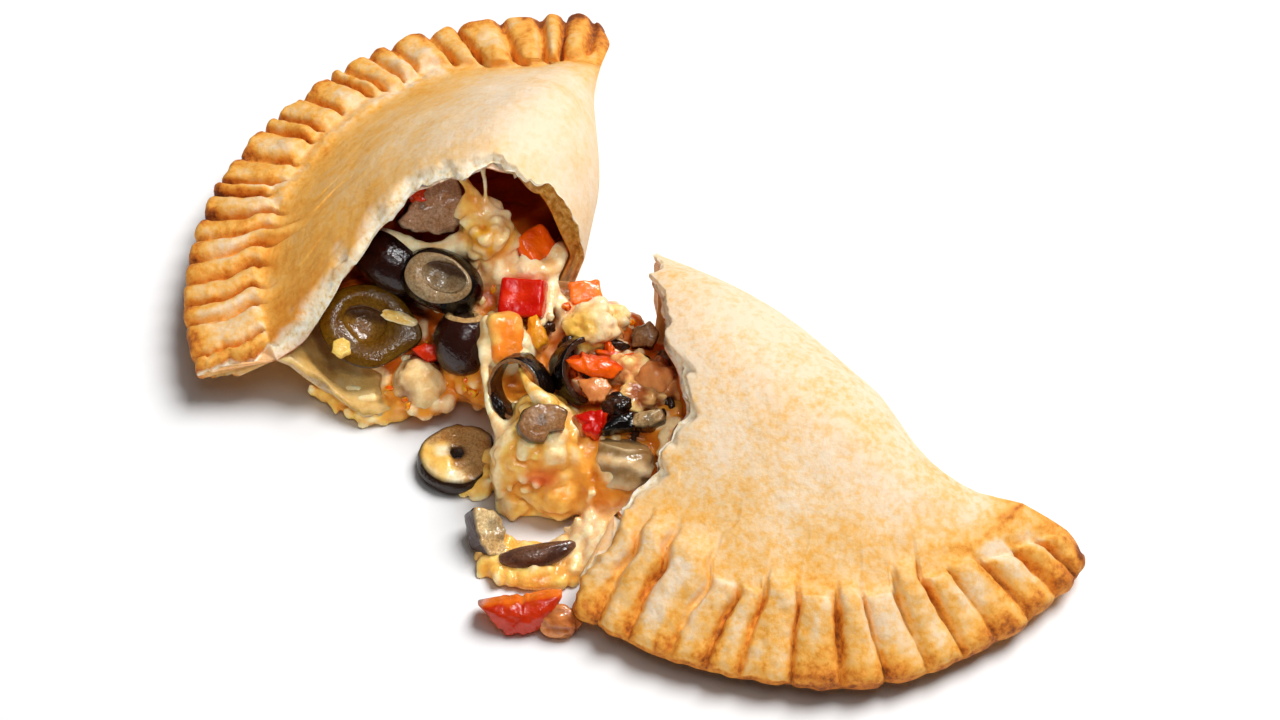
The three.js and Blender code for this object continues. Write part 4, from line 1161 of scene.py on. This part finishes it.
def add_filling():
    """The four pieces of the filling; returns those that let light in."""
    cheese = food_material("melted_cheese", roughness=0.12, scatter=0.4, fibre=0.0, curds=0.16)
    olive = food_material("olive", roughness=0.1, scatter=0.0, fibre=1.0, curds=0.0)
    vegetable = food_material("pepper_and_tomato", roughness=0.12, scatter=0.12, fibre=0.25, curds=0.1)
    onion = food_material("onion", roughness=0.1, scatter=0.35, fibre=0.1, curds=0.1)
    bed = cheese_part()
    red_bits = bits(bed, 20, CRUMB, EVERYWHERE, RED, LIGHT_ORANGE, seed=230)
    red_bits += bits(bed, 20, CRUMB, EVERYWHERE, ORANGE, YELLOW, seed=260)
    red_bits += bits(bed, 8, SHARD, BY_THE_RIGHT, TOMATO, ORANGE, seed=320)
    pale_bits = bits(bed, 40, CRUMB, EVERYWHERE, CLEAR_ONION, WHITE_CHEESE, seed=290)
    pale_bits += bits(bed, 16, SHARD, BY_THE_RIGHT, BROWN_ONION, PINK_ONION, seed=340)
    dark_bits = bits(bed, 10, SHARD, BY_THE_RIGHT, BLACK_SKIN, DARK_FLESH, seed=360)
    add_piece("olives", olive_parts() + dark_bits, olive, [])
    return [
        add_piece("cheese", [bed, stuffing_part(LEFT), stuffing_part(RIGHT)], cheese, ["filling"]),
        add_piece("peppers_and_tomato", pepper_parts() + red_bits, vegetable, []),
        add_piece("onion", onion_parts() + pale_bits, onion, []),
    ]


# Stage, light and camera
FOCAL_PIXELS = 5000
PHOTO_WIDTH = 1280
CAMERA_DISTANCE = 937
CAMERA_TARGET = np.array([0, 0, 12]) + LAYOUT_SHIFT
FROM_KEY, FROM_SPOT = (0.42, 0.36, 0.83), (0.15, -0.35, 1.0)


def add_camera():
    data = bpy.data.cameras.new("camera")
    data.sensor_width = 36
    data.lens = FOCAL_PIXELS / PHOTO_WIDTH * data.sensor_width
    camera = bpy.data.objects.new("camera", data)
    camera.location = (CAMERA_TARGET + VIEW[:, 2] * CAMERA_DISTANCE) * MM
    camera.rotation_euler = (math.pi / 2 - ELEVATION, 0, 0)
    bpy.context.scene.collection.objects.link(camera)
    bpy.context.scene.camera = camera


def add_light(name, towards, distance, size, power, glossy=True, only=(), spared=()):
    """A round soft light on everything, on some things only, or on all but the spared ones."""
    data = bpy.data.lights.new(name, "AREA")
    data.shape = "DISK"
    data.size = size
    data.energy = power
    light = bpy.data.objects.new(name, data)
    way = np.array(towards) / np.linalg.norm(towards)
    light.location = way * distance
    turn = math.atan2(way[1], way[0])
    light.rotation_euler = (0, math.acos(way[2]), turn)
    light.visible_glossy = glossy
    bpy.context.scene.collection.objects.link(light)
    if only or spared:
        named = bpy.data.collections.new(name + " receivers")
        for thing in only or spared:
            named.objects.link(thing)
        for member in named.collection_objects:
            member.light_linking.link_state = "INCLUDE" if only else "EXCLUDE"
        light.light_linking.receiver_collection = named


def add_stage():
    n = Nodes("white_table")
    tint = n.ramp(n.noise(60, 2), [(0.0, (246, 246, 246)), (1.0, (250, 250, 250))])
    material = n.surface(tint, n.bump(n.noise(2, 2), 0.02), Roughness=0.6, Specular_IOR_Level=0.2)
    mesh = bpy.data.meshes.new("table")
    far = 3.0
    mesh.from_pydata([(-far, -far, 0), (far, -far, 0), (far, far, 0), (-far, far, 0)], [], [(0, 1, 2, 3)])
    mesh.materials.append(material)
    table = bpy.data.objects.new("table", mesh)
    bpy.context.scene.collection.objects.link(table)
    return table


def add_surroundings():
    world = bpy.data.worlds.new("studio")
    world.use_nodes = True
    background = world.node_tree.nodes["Background"]
    background.inputs["Color"].default_value = (1, 1, 1, 1)
    background.inputs["Strength"].default_value = 0.05
    bpy.context.scene.world = world
    bpy.context.scene.view_settings.view_transform = "Standard"


def build():
    crust = crust_material()
    for half in (RIGHT, LEFT):
        add_piece(half.node + "_baked", [crust_part(half)], crust, [half.node])
    moist = add_filling()
    table = add_stage()
    add_surroundings()
    add_camera()
    add_light("key", FROM_KEY, 1.0, 0.3, 9.4, spared=[table])
    add_light("softbox", (0.05, -0.1, 1.0), 1.1, 0.8, 1.2)
    add_light("table key", FROM_KEY, 3.0, 1.9, 120, glossy=False, only=[table])
    add_light("front fill", (-0.35, -0.9, 0.42), 1.2, 0.6, 4.2, glossy=False, spared=[table])
    add_light("spot", FROM_SPOT, 1.0, 0.2, 1.9, spared=[table])
    add_light("filling spot", FROM_SPOT, 1.0, 0.2, 1.3, glossy=False, only=moist)


build()
